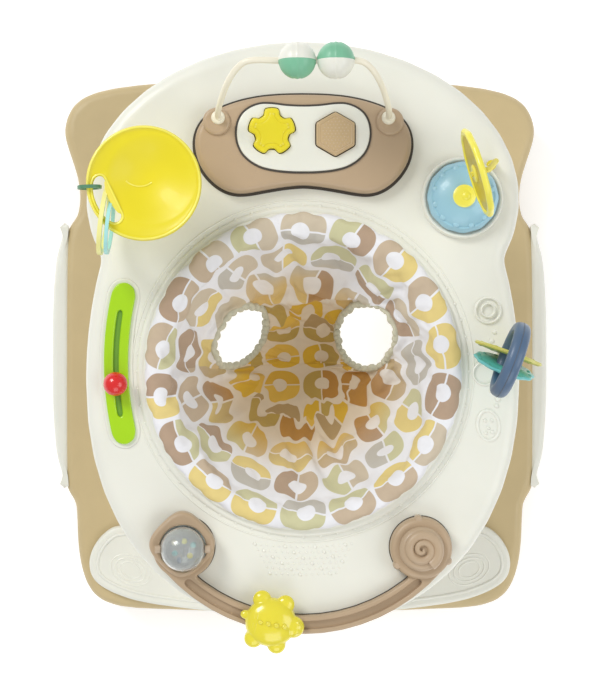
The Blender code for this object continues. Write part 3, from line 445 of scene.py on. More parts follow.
def oval(centre, half_x, half_y, turn=0.0, count=48):
    """An ellipse turned by an angle in degrees."""
    c, s = math.cos(math.radians(turn)), math.sin(math.radians(turn))
    return [Vector((centre[0] + c * half_x * p.x - s * half_y * p.y,
                    centre[1] + s * half_x * p.x + c * half_y * p.y)) for p in circle(1, count=count)]


def grown(loop, distance):
    """The outline moved outwards by a distance."""
    return [p - n * distance for p, n in zip(loop, inwards(loop))]


# Pieces

def piece(name, shape, material, body, nodes=(), angle=38, even=False):
    """A finished object from a bmesh or a mesh: smooth but for its edges, with its material, on its body."""
    if isinstance(shape, bmesh.types.BMesh):
        mesh = bpy.data.meshes.new(name)
        shape.to_mesh(mesh)
        shape.free()
    else:
        mesh = shape
    mesh.shade_smooth()
    mesh.set_sharp_from_angle(angle=math.radians(angle))
    obj = bpy.data.objects.new(name, mesh)
    bpy.context.scene.collection.objects.link(obj)
    for key in [material] if isinstance(material, str) else material:
        mesh.materials.append(FINISH[key])
    if even:
        weighted = obj.modifiers.new("even shading", "WEIGHTED_NORMAL")
        weighted.keep_sharp = True
    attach(obj, body)
    if nodes:
        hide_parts(*nodes)
    return obj


def body_of(node):
    return frame["nodes"][node]["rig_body"]


def quarter(width, height, steps=6):
    """Rows of (inset, drop) round a quarter of an ellipse, from the side up to the top."""
    return [(width * (1 - math.cos(math.pi / 2 * i / steps)), height * (1 - math.sin(math.pi / 2 * i / steps)))
            for i in range(steps + 1)]


def moulding(outlines, bottom, top, edge, drop=None, steps=6, hole_edge=None, foot=0.0008, bm=None):
    """A flat moulding with rounded upper edges: the first outline is its outside, and the others are holes."""
    bm = bm or bmesh.new()
    mark = bm.verts.layers.int.get("place") or bm.verts.layers.int.new("place")
    low_rims, high_rims = [], []
    for k, loop in enumerate(outlines):
        width = edge if k == 0 or hole_edge is None else hole_edge
        height = min(drop or width, width) if k else (drop or width)
        inward = [n if k == 0 else -n for n in inwards(loop)]
        rows = [(foot, bottom), (0.0, bottom + foot)] + [(i, top - d) for i, d in quarter(width, height, steps)]
        verts = []
        for i, (p, n) in enumerate(zip(loop, inward)):
            v = bm.verts.new((p.x + n.x * foot, p.y + n.y * foot, bottom))
            v[mark] = i
            verts.append(v)
        rim = [bm.edges.new((verts[i - 1], verts[i])) for i in range(len(verts))]
        low_rims += rim
        for inset, z in rows[1:]:
            made = bmesh.ops.extrude_edge_only(bm, edges=rim)["geom"]
            rim = [e for e in made if isinstance(e, bmesh.types.BMEdge)]
            for v in (v for v in made if isinstance(v, bmesh.types.BMVert)):
                p, n = loop[v[mark]], inward[v[mark]]
                v.co = (p.x + n.x * inset, p.y + n.y * inset, z)
        high_rims += rim
    for rim in (low_rims, high_rims):
        bmesh.ops.triangle_fill(bm, use_beauty=True, use_dissolve=False, edges=rim)
    bmesh.ops.recalc_face_normals(bm, faces=bm.faces)
    return bm


def turned(profile, centre, axis=UP, steps=48, bm=None, lobes=0, depth=0.0):
    """A profile of (radius, height) spun about an axis through centre. Lobes scallop it."""
    own = bmesh.new()
    verts = [own.verts.new((r, 0, z)) for r, z in profile]
    edges = [own.edges.new(pair) for pair in zip(verts, verts[1:])]
    if profile[0][0] > 1e-6 and profile[-1][0] > 1e-6:
        edges.append(own.edges.new((verts[-1], verts[0])))
    bmesh.ops.spin(own, geom=verts + edges, cent=(0, 0, 0), axis=(0, 0, 1), angle=2 * math.pi, steps=steps,
                   use_merge=True, use_duplicate=False)
    bmesh.ops.remove_doubles(own, verts=own.verts, dist=1e-6)
    bmesh.ops.recalc_face_normals(own, faces=own.faces)
    widest = max(r for r, _ in profile)
    for v in own.verts:
        r = v.co.xy.length
        if lobes and r > 1e-6:
            wave = depth * math.cos(lobes * math.atan2(v.co.y, v.co.x)) * (r / widest) ** 3
            v.co.xy = v.co.xy * (1 + wave)
    place = Matrix.Translation(Vector(centre)) @ Vector(axis).to_track_quat("Z", "Y").to_matrix().to_4x4()
    bmesh.ops.transform(own, matrix=place, verts=own.verts)
    return joined(bm, own)


def joined(bm, own):
    """Adds one bmesh to another, and returns the whole."""
    if bm is None:
        return own
    mesh = bpy.data.meshes.new("joined")
    own.to_mesh(mesh)
    own.free()
    bm.from_mesh(mesh)
    bpy.data.meshes.remove(mesh)
    return bm


def bar(points, radius, closed=False, sides=16, bm=None, radii=None):
    """A round bar along a path, closed at its ends."""
    own = bmesh.new()
    count = len(points)
    rims = []
    for i in range(count):
        before, after = (points[i - 1], points[(i + 1) % count]) if closed else (
            points[max(i - 1, 0)], points[min(i + 1, count - 1)])
        turn = (after - before).to_track_quat("Z", "Y").to_matrix().to_4x4()
        r = radii[i] if radii else radius
        ring = bmesh.ops.create_circle(own, cap_ends=False, segments=sides, radius=r)["verts"]
        bmesh.ops.transform(own, matrix=Matrix.Translation(points[i]) @ turn, verts=ring)
        rims.append(list({e for v in ring for e in v.link_edges}))
    pairs = list(zip(rims, rims[1:])) + ([(rims[-1], rims[0])] if closed else [])
    for first, second in pairs:
        bmesh.ops.bridge_loops(own, edges=first + second)
    if not closed:
        bmesh.ops.holes_fill(own, edges=rims[0] + rims[-1], sides=sides)
    bmesh.ops.recalc_face_normals(own, faces=own.faces)
    return joined(bm, own)


def ball(radius, centre, squash=(1, 1, 1), bm=None, segments=24, matrix=None):
    """A sphere or an ellipsoid."""
    own = bmesh.new()
    bmesh.ops.create_uvsphere(own, u_segments=segments, v_segments=segments // 2, radius=radius)
    bmesh.ops.scale(own, vec=squash, verts=own.verts)
    if matrix:
        bmesh.ops.transform(own, matrix=matrix, verts=own.verts)
    bmesh.ops.translate(own, vec=centre, verts=own.verts)
    return joined(bm, own)


def relief_ring(centre, radius, width, height, bm=None, steps=40):
    """A low rounded ring standing on a flat face."""
    half = width / 2
    profile = [(radius + half * math.cos(math.pi * i / 8), height * math.sin(math.pi * i / 8)) for i in range(9)]
    profile += [(radius - half, -0.0005), (radius + half, -0.0005)]
    return turned(profile, centre, steps=steps, bm=bm)


def fused(name, bm, voxel, smooth=3):
    """Overlapping shapes melted into one smooth body."""
    mesh = bpy.data.meshes.new(name)
    bm.to_mesh(mesh)
    bm.free()
    obj = bpy.data.objects.new(name, mesh)
    bpy.context.scene.collection.objects.link(obj)
    melt = obj.modifiers.new("melt", "REMESH")
    melt.mode = "VOXEL"
    melt.voxel_size = voxel
    ease = obj.modifiers.new("ease", "SMOOTH")
    ease.factor, ease.iterations = 0.5, smooth
    bpy.context.view_layer.update()
    made = bpy.data.meshes.new_from_object(obj.evaluated_get(bpy.context.evaluated_depsgraph_get()))
    made.name = name
    bpy.data.objects.remove(obj)
    bpy.data.meshes.remove(mesh)
    return made


def dressed(node, material, angle=32):
    """A welded copy of a CAD node with smooth shading, in its place."""
    bm = bmesh.new()
    bm.from_mesh(frame["nodes"][node].data)
    bmesh.ops.remove_doubles(bm, verts=bm.verts, dist=2e-6)
    return piece(node + "_finish", bm, material, body_of(node), [node], angle=angle)


# The base

def make_base(shell):
    low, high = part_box("base_shell")
    outer, opening = section("base_shell", high.z - 0.025)[0], section("base_shell", low.z + 0.02)[-1]
    loops = [evened(outer, 0.004, 3), evened(opening, 0.004, 5)]
    shape = moulding(loops, high.z - 0.035, high.z, shell.base_edge, hole_edge=0.006)
    base = piece("base_top", shape, "tan_plastic", "base", ["base_shell"], even=True)
    skirt = bmesh.new()
    for loop, side in zip(loops, (1, -1)):
        for inset in (0.0012, 0.0042):
            verts = [skirt.verts.new((p.x + side * n.x * inset, p.y + side * n.y * inset, low.z))
                     for p, n in zip(loop, inwards(loop))]
            rim = [skirt.edges.new((verts[i - 1], verts[i])) for i in range(len(verts))]
            made = bmesh.ops.extrude_edge_only(skirt, edges=rim)["geom"]
            bmesh.ops.translate(skirt, vec=(0, 0, high.z - 0.034 - low.z),
                                verts=[v for v in made if isinstance(v, bmesh.types.BMVert)])
    bmesh.ops.remove_doubles(skirt, verts=skirt.verts, dist=1e-6)
    piece("base_skirt", skirt, "tan_plastic", "base")
    return base


def make_deck():
    """The cream rear deck, its rounded lip and its low rings."""
    low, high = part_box("rear_deck")
    loop = evened(section("rear_deck", (low.z + high.z) / 2)[0], 0.003, 8)
    shape = moulding([loop], low.z, high.z - 0.001, 0.006)
    lip = grown(loop, -0.012)
    points = [Vector((p.x, p.y, high.z - 0.0016)) for p in lip]
    bar(points, 0.0024, closed=True, sides=10, bm=shape)
    for sign in (-1, 1):
        for size in (0.55, 0.8, 1.05):
            ring = oval((sign * 0.236, -0.312), 0.028 * size, 0.019 * size, sign * 24, 40)
            bar([Vector((p.x, p.y, high.z - 0.0014)) for p in ring], 0.0013, closed=True, sides=8, bm=shape)
    piece("deck_top", shape, "cream_plastic", "base", ["rear_deck"], even=True)


def make_bumpers():
    for side in ("left", "right"):
        low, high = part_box("bumper_" + side)
        loop = evened(section("bumper_" + side, (low.z + high.z) / 2)[0], 0.003, 3)
        inner = min(abs(low.x), abs(high.x))
        front, back = max(p.y for p in loop), min(p.y for p in loop)
        for p in loop:
            reach = 1 - min(1.0, max(0.0, abs(p.x) - inner) / 0.010)
            ends = min(1.0, max(0.0, min(front - p.y, p.y - back) / 0.030))
            p.x -= math.copysign(0.0085 * reach * math.sin(ends * math.pi / 2), p.x)
        loop = evened(loop, 0.003, 8)
        shape = moulding([loop], low.z, high.z + 0.0085, 0.0085, 0.010, steps=8, foot=0.003)
        piece("bumper_strip_" + side, shape, "cream_plastic", "base", ["bumper_" + side],
              even=True)


# The tray

def make_tray(shell):
    low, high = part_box("tray_top")
    loops = section("tray_top", low.z + 0.015)
    outer, hole = evened(loops[0], 0.004, 4), evened(loops[-1], 0.004, 4)
    shape = moulding([outer, grown(hole, 0.0004)], low.z + 0.0012, high.z, shell.tray_edge, shell.tray_drop,
                     8, 0.002, 0.004)
    piece("tray_moulding", shape, "cream_plastic", "tray", ["tray_top"], even=True)
    return high.z


def make_seat_track(top):
    """The bearing's flange with the ring of clicks round the seat."""
    low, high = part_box("seat_bearing")
    middle = (low + high) / 2
    outer = (high.x - low.x) / 2
    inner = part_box("seat_ring")[1].x - 0.0038
    flange = [(inner, low.z), (inner, high.z - 0.0006), (inner + 0.0006, high.z), (outer - 0.0045, high.z),
              (outer - 0.0015, high.z - 0.0012), (outer, high.z - 0.0032), (outer, top + 0.0002),
              (0.1888, top + 0.0002), (0.1888, low.z)]
    shape = turned(flange, (middle.x, middle.y, 0), steps=160)
    clicks = 60
    for i in range(clicks):
        turn = 2 * math.pi * i / clicks
        ball(0.0016, (middle.x + (outer + 0.0004) * math.cos(turn), middle.y + (outer + 0.0004) * math.sin(turn),
                      top + 0.0006), (1, 1, 0.8), shape, 8)
    relief_ring((middle.x, middle.y, top), outer + 0.0062, 0.0022, 0.0009, shape, 160)
    piece("seat_track", shape, "cream_plastic", "tray", ["seat_bearing"], even=True)


def make_tray_relief(top):
    """Low rings, dots and an oval moulded into the tray, and the grained patch behind the seat."""
    shape = relief_ring((0.2210, 0.0425, top), 0.0150, 0.0036, 0.0034)
    relief_ring((0.2210, 0.0425, top), 0.0080, 0.0034, 0.0040, shape)
    relief_ring((0.2175, -0.0325, top), 0.0138, 0.0030, 0.0026, shape)
    for x, y, r in ((0.2290, 0.0165, 0.0028), (0.2255, 0.0060, 0.0032), (0.2255, -0.0540, 0.0030),
                    (0.2330, -0.0635, 0.0034), (0.2315, -0.0715, 0.0028)):
        ball(r, (x, y, top), (1, 1, 0.8), shape, 16)
    ring = oval((0.2215, -0.0950), 0.0130, 0.0180, 8)
    bar([Vector((p.x, p.y, top)) for p in ring], 0.0019, closed=True, sides=8, bm=shape)
    for x, y in ((-0.004, 0.006), (0.004, 0.006), (0.0, -0.003), (-0.003, -0.009), (0.005, -0.008)):
        ball(0.0023, (0.2215 + x, -0.0950 + y, top), (1, 1, 0.8), shape, 12)
    for row in range(6):
        for i in range(17 - row):
            x = (i - (16 - row) / 2) * 0.0072
            y = -0.2400 - row * 0.0066 + x * x * 1.1
            size = 0.0012 + 0.0009 * ((7 * i + 3 * row) % 5 == 0)
            ball(size, (x, y, top), (1, 1, 0.9), shape, 8)
    piece("tray_relief", shape, "cream_plastic", "tray")


# The seat

HOLES = ((-1, 0.0775, 0.0125, 0.0265, 0.0440, -33.0), (1, 0.0805, 0.0125, 0.0350, 0.0420, 11.0))


def hole_distance(x, y):
    """How far a point lies from the nearer leg hole's middle, where 1 is the edge, with that hole."""
    best = (9.0, None)
    for hole in HOLES:
        sign, across, along, half_x, half_y, turn = hole
        c, s = math.cos(math.radians(turn)), math.sin(math.radians(turn))
        dx, dy = x - sign * across, y - along
        best = min(best, (math.hypot((c * dx + s * dy) / half_x, (-s * dx + c * dy) / half_y), hole),
                   key=lambda b: b[0])
    return best


SEAT_PROFILE = (
    (0.1882, 0.4660), (0.1890, 0.4690), (0.1880, 0.4730), (0.1850, 0.4757), (0.1790, 0.4765), (0.1700, 0.4742),
    (0.1590, 0.4680), (0.1490, 0.4580), (0.1400, 0.4440), (0.1310, 0.4240), (0.1220, 0.4000), (0.1120, 0.3720),
    (0.1010, 0.3450), (0.0880, 0.3200), (0.0730, 0.2990), (0.0560, 0.2830), (0.0380, 0.2720), (0.0190, 0.2660),
    (0.0, 0.2640))


def seat_rows(count):
    """The seat's profile as evenly spaced (radius, height, length so far)."""
    points = [Vector(p) for p in SEAT_PROFILE]
    lengths = [0.0]
    for a, b in zip(points, points[1:]):
        lengths.append(lengths[-1] + (b - a).length)
    made = []
    for i in range(count + 1):
        s = lengths[-1] * i / count
        k = min(next((j for j in range(1, len(lengths)) if lengths[j] >= s - 1e-9), len(lengths) - 1),
                len(points) - 1)
        p = points[k - 1].lerp(points[k], (s - lengths[k - 1]) / (lengths[k] - lengths[k - 1]))
        made.append((p.x, p.y, s))
    return made


def make_seat(seat):
    """The printed cover: spun from its profile, holed for the legs, then gathered by the cloth solver."""
    low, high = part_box("seat_ring")
    middle = (low + high) / 2
    rows = seat_rows(64)
    bm = bmesh.new()
    mark = bm.verts.layers.int.new("row")
    verts = []
    for i, (r, z, _) in enumerate(rows):
        v = bm.verts.new((r, 0, z))
        v[mark] = i
        verts.append(v)
    edges = [bm.edges.new(pair) for pair in zip(verts, verts[1:])]
    bmesh.ops.spin(bm, geom=verts + edges, cent=(0, 0, 0), axis=(0, 0, 1), angle=2 * math.pi, steps=176,
                   use_merge=True, use_duplicate=False)
    bmesh.ops.remove_doubles(bm, verts=bm.verts, dist=1e-6)
    bmesh.ops.recalc_face_normals(bm, faces=bm.faces)
    bmesh.ops.translate(bm, vec=(middle.x, middle.y, 0), verts=bm.verts)
    print_map(bm, mark, rows, middle, seat)
    cut_holes(bm)
    for v in bm.verts:
        v.co = puckered(v.co, middle)
    mesh = bpy.data.meshes.new("seat_cover")
    bm.to_mesh(mesh)
    bm.free()
    mesh.shade_smooth()
    cover = bpy.data.objects.new("seat_cover", mesh)
    bpy.context.scene.collection.objects.link(cover)
    rims = open_rims(mesh)
    gather(cover, rims, seat)
    make_bindings(cover)
    wall = cover.modifiers.new("cloth wall", "SOLIDIFY")
    wall.thickness, wall.offset = 0.0016, -1.0
    finer = cover.modifiers.new("finer", "SUBSURF")
    finer.levels = finer.render_levels = 1
    mesh.materials.append(FINISH["seat_fabric"])
    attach(cover, "seat")
    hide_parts("seat_sling")
    return cover


def print_row(length, seat):
    """The row of motifs at a length down the wall, counted with its fraction. Lower rows are taller."""
    first = 1.04 * seat.row
    if length < first:
        return max(0.0, length / seat.row - 0.04)
    row, start, height = 1, first, seat.row * 1.25
    while length > start + height and row < 6:
        row, start, height = row + 1, start + height, height * 1.12
    return row + (length - start) / height


def print_map(bm, mark, rows, middle, seat):
    """UVs in whole motifs: rows round the wall, and a straight grid on the seat's bottom."""
    uv = bm.loops.layers.uv.new("print")
    bottom = 0.066
    for face in bm.faces:
        centre = face.calc_center_median() - middle
        flat = centre.xy.length < bottom
        turn = math.atan2(centre.y, centre.x)
        span = sum(rows[v[mark]][2] for v in face.verts) / len(face.verts)
        row = int(print_row(span, seat))
        count = max(8, seat.motifs - (0, 3, 6, 8, 9, 10, 10)[min(row, 6)])
        for loop in face.loops:
            x, y = loop.vert.co.x - middle.x, loop.vert.co.y - middle.y
            if flat:
                loop[uv].uv = (x / 0.049 + 40.0, y / 0.038 + 40.2)
                continue
            angle = math.atan2(y, x)
            angle += 2 * math.pi * round((turn - angle) / (2 * math.pi))
            if Vector((x, y)).length < 1e-5:
                angle = turn
            length = rows[loop.vert[mark]][2]
            down = min(max(print_row(length, seat), row + 0.001), row + 0.999)
            loop[uv].uv = (count * angle / (2 * math.pi) + 20 + 0.37 * row, 30 - down)


def cut_holes(bm):
    """Moves the nearest vertices onto each leg hole's edge and removes what is inside."""
    for v in bm.verts:
        d, hole = hole_distance(v.co.x, v.co.y)
        if 0.90 < d < 1.08:
            sign, across, along = hole[:3]
            v.co.x = sign * across + (v.co.x - sign * across) / d
            v.co.y = along + (v.co.y - along) / d
    inside = [v for v in bm.verts if hole_distance(v.co.x, v.co.y)[0] < 0.985]
    bmesh.ops.delete(bm, geom=inside, context="VERTS")
    lone = [v for v in bm.verts if not v.link_faces]
    bmesh.ops.delete(bm, geom=lone, context="VERTS")


def puckered(place, middle):
    """The cover's shape with its radial gathers and the tucks round each leg hole."""
    out = place - middle
    r, turn = out.xy.length, math.atan2(out.y, out.x)
    deep = min(1.0, max(0.0, (0.176 - r) / 0.06)) * min(1.0, max(0.0, (r - 0.035) / 0.04))
    wander = noise.noise(Vector((out.x * 16, out.y * 16, 3.1)))
    tuck = 1 - 2 * abs(math.sin(9.5 * turn + 3.0 * wander)) ** 0.6
    wave = (math.sin(23 * turn + 6.0 * wander) * 0.5 + 0.7 * tuck
            + 1.1 * noise.noise(Vector((out.x * 38, out.y * 38, 8.7))))
    d, _ = hole_distance(place.x, place.y)
    calm = min(1.0, max(0.0, (d - 1.0) / 0.5))
    crease = 1 - abs(noise.noise(Vector((out.x * 21 + 4.0, out.y * 21, 5.3)))) * 5
    wave += 0.9 * max(0.0, crease) ** 2
    push = 0.0058 * deep * wave * (0.35 + 0.65 * calm)
    away = Vector((math.cos(turn), math.sin(turn), 0)) * push + UP * push * 0.8
    return place + away


def open_rims(mesh):
    """The vertices on the cover's open edges."""
    bm = bmesh.new()
    bm.from_mesh(mesh)
    found = [v.index for v in bm.verts if any(e.is_boundary for e in v.link_edges)]
    bm.free()
    return found


def gather(cover, rims, seat):
    """Lets spare cloth buckle between the held rims, and caps how far it may go."""
    mesh = cover.data
    rest = [v.co.copy() for v in mesh.vertices]
    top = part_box("seat_ring")[1].z
    held = cover.vertex_groups.new(name="held")
    held.add(rims, 1.0, "ADD")
    held.add([v.index for v in mesh.vertices if v.co.z > top + 0.001], 0.7, "ADD")
    cloth = cover.modifiers.new("gather", "CLOTH")
    settings = cloth.settings
    settings.quality = 5
    settings.mass = 0.15
    settings.tension_stiffness = settings.compression_stiffness = 20
    settings.bending_stiffness = 0.35
    settings.vertex_group_mass = "held"
    settings.shrink_min = -seat.spare
    settings.use_pressure = True
    settings.uniform_pressure_force = -0.6
    settings.effector_weights.gravity = 0.3
    cloth.collision_settings.use_collision = False
    cloth.point_cache.frame_start, cloth.point_cache.frame_end = 1, 24
    scene = bpy.context.scene
    for number in range(1, 25):
        scene.frame_set(number)
    bpy.context.view_layer.update()
    solved = cover.evaluated_get(bpy.context.evaluated_depsgraph_get()).data
    moved = [v.co.copy() for v in solved.vertices]
    cover.modifiers.remove(cloth)
    scene.frame_set(1)
    for v, before, after in zip(mesh.vertices, rest, moved):
        step = after - before
        if step.length > seat.most:
            step *= seat.most / step.length
        v.co = before + step


def make_bindings(cover):
    """A ruffled tape round each leg hole."""
    bm = bmesh.new()
    bm.from_mesh(cover.data)
    edges = {e for e in bm.edges if e.is_boundary}
    tape = None
    while edges:
        edge = edges.pop()
        start, at = edge.verts
        loop = [start.co.copy(), at.co.copy()]
        while edge:
            edge = next((e for e in at.link_edges if e in edges), None)
            if edge:
                edges.discard(edge)
                at = edge.other_vert(at)
                loop.append(at.co.copy())
        loop = loop[:-1]
        if loop[0].z > 0.44:
            continue
        count = len(loop)
        for _ in range(3):
            loop = [(loop[i - 1] + 2 * loop[i] + loop[(i + 1) % count]) / 4 for i in range(count)]
        fine = []
        for i in range(count):
            fine += [loop[i].lerp(loop[(i + 1) % count], t / 3) for t in range(3)]
        centre = sum(fine, Vector()) / len(fine)
        radii = []
        for i, p in enumerate(fine):
            ruffle = 0.7 * math.sin(i * 0.61 + 3 * noise.noise(p * 40)) + 0.9 * noise.noise(p * 160)
            fine[i] = p + (centre - p).normalized() * (0.0016 * ruffle - 0.0002)
            radii.append(0.0041 + 0.0011 * ruffle)
        tape = bar(fine, 0.0041, closed=True, sides=10, bm=tape, radii=radii)
    bm.free()
    piece("leg_hole_binding", tape, "binding", "seat", angle=80)


# The console and the beads

def star_outline(grow=0.0):
    """Five broad lobes with deep notches between them."""
    low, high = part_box("star_button")
    middle = (low + high) / 2
    made = []
    for i in range(120):
        turn = 2 * math.pi * i / 120
        r = 0.0238 + 0.0037 * math.tanh(2.8 * (math.cos(5 * (turn - math.pi / 2)) + 0.35)) + grow
        made.append(Vector((middle.x + r * math.cos(turn), middle.y + r * math.sin(turn))))
    return made


def make_console():
    low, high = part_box("console_housing")
    outer = evened(section("console_housing", (low.z + high.z) / 2)[0], 0.003, 8)
    shape = moulding([outer], low.z, high.z, 0.0075, steps=7)
    piece("console_body", shape, "brown_plastic", "tray", ["console_housing"], even=True)
    # Painted shadow: a dark sheet just outside the console's foot stands in for the shade in its gap.
    gap = moulding([grown(outer, 0.0036)], low.z - 0.0002, low.z + 0.0011, 0.0004, foot=0.0002)
    piece("console_painted_shadow", gap, "gap", "tray")

    low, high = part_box("console_plate")
    outer = evened(section("console_plate", low.z + 0.0014)[0], 0.002, 8)
    # Painted shadow: a dark sheet round the button plate's foot.
    shadow = moulding([grown(outer, 0.0024)], low.z - 0.0004, low.z + 0.0010, 0.0003, foot=0.0002)
    piece("plate_painted_shadow", shadow, "gap", "tray")
    loops = [outer, star_outline(0.0012), grown(evened(section("hexagon_button", low.z + 0.004)[0], 0.0015, 2), 0.0012)]
    shape = moulding(loops, low.z, high.z, 0.0016, hole_edge=0.0006, foot=0.0003)
    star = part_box("star_button")
    for i in (-1, 0, 1):
        ball(0.0008, ((star[0].x + star[1].x) / 2 + 0.0035 * i - 0.002, low.y + 0.0068, high.z), (1, 1, 0.5), shape,
             8)
    piece("button_plate", shape, "cream_plastic", "tray", ["console_plate"], even=True)
    for sign in (-1, 1):
        foot = [Vector((p.x, p.y)) for p in circle(0.0165, (sign * 0.1025, 0.2655), 40)]
        shape = moulding([foot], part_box("console_housing")[1].z - 0.004,
                         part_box("console_housing")[1].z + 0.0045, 0.004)
        piece("arch_boss_left" if sign < 0 else "arch_boss_right", shape, "brown_plastic", "tray",
              even=True)


def make_buttons():
    """The lobed and the six-sided button, each with its raised top."""
    low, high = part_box("star_button")
    outer = star_outline()
    shape = moulding([outer], low.z, high.z - 0.0012, 0.0030, steps=8)
    inner = evened(grown(outer, -0.0062), 0.0012, 4)
    moulding([inner], high.z - 0.0022, high.z, 0.0022, 0.0009, foot=0.0001, bm=shape)
    piece("star_button_top", shape, "yellow_plastic", "star_button", ["star_button"], even=True)

    low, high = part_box("hexagon_button")
    outer = evened(section("hexagon_button", high.z - 0.003)[0], 0.0012, 2)
    shape = moulding([outer], low.z, high.z - 0.0008, 0.0022)
    inner = grown(outer, -0.0036)
    bar([Vector((p.x, p.y, high.z - 0.0009)) for p in inner], 0.0009, closed=True, sides=8, bm=shape)
    middle = (low + high) / 2
    pitch = 0.0042
    for row in range(-5, 6):
        for i in range(-6, 7):
            x, y = (i + (row % 2) / 2) * pitch, row * pitch * 0.866
            if abs(x) < 0.0160 and abs(y) + abs(x) * 0.577 < 0.0195:
                ball(0.0011, (middle.x + x, middle.y + y, high.z - 0.0008), (1, 1, 0.6), shape, 8)
    piece("hexagon_button_top", shape, "button_tan", "hexagon_button", ["hexagon_button"], even=True)


def arch_path():
    """The bead wire from one foot over the top to the other."""
    low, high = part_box("bead_arch")
    wire = 0.0037
    top_y, top_z = high.y - wire, high.z - wire
    foot_x, foot_y = 0.1007, 0.2697
    control = [Vector((foot_x, foot_y, low.z)), Vector((foot_x - 0.0005, foot_y + 0.002, low.z + 0.024)),
               Vector((0.0965, foot_y + 0.011, low.z + 0.054)), Vector((0.0870, top_y - 0.0220, top_z - 0.0190)),
               Vector((0.0745, top_y - 0.0065, top_z - 0.0055)), Vector((0.0600, top_y, top_z)),
               Vector((0.03, top_y, top_z)), Vector((0.0, top_y, top_z))]
    half = smooth_path(control, 8)
    return half + [Vector((-p.x, p.y, p.z)) for p in reversed(half[:-1])]


def smooth_path(points, steps):
    """A Catmull-Rom curve through the points."""
    made = []
    last = len(points) - 1
    for i in range(last):
        a, b, c, d = (points[min(max(i + k, 0), last)] for k in (-1, 0, 1, 2))
        for j in range(steps):
            t = j / steps
            made.append((2 * b + (c - a) * t + (2 * a - 5 * b + 4 * c - d) * t ** 2
                         + (3 * b - a - 3 * c + d) * t ** 3) / 2)
    made.append(points[-1].copy())
    return made


def make_arch():
    path = arch_path()
    shape = bar(path, 0.0037, sides=16)
    for sign in (-1, 1):
        foot = path[0 if sign > 0 else -1]
        profile = [(0.0, -0.002), (0.0082, -0.002), (0.0082, 0.0050), (0.0072, 0.0072), (0.0050, 0.0086), (0.0, 0.0090)]
        turned(profile, (foot.x, foot.y, foot.z), steps=32, bm=shape)
    piece("bead_wire", shape, "ivory", "tray", ["bead_arch"])


def make_beads():
    """Two-colour beads with a stepped band round the middle of each."""
    for side, flip in (("left", 1), ("right", -1)):
        node = "bead_" + side
        low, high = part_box(node)
        middle = (low + high) / 2
        radius = (high.z - low.z) / 2
        profile = []
        count = 24
        for i in range(count + 1):
            turn = math.pi * i / count
            x = radius * math.cos(turn)
            r = radius * math.sin(turn)
            band = 0.0008 if abs(x) < 0.0062 and (abs(x) // 0.0021) % 2 else 0.0
            profile.append((max(r - band, 0.0045 if i in (0, count) else 0.0), x))
        shape = turned(profile, middle, (1, 0, 0), 40)
        for face in shape.faces:
            upper = face.calc_center_median().y > middle.y
            face.material_index = 0 if upper == (flip > 0) else 1
        piece(node + "_shell", shape, ("cream_plastic", "green_plastic"), node, [node], angle=30)


# Dish and rings

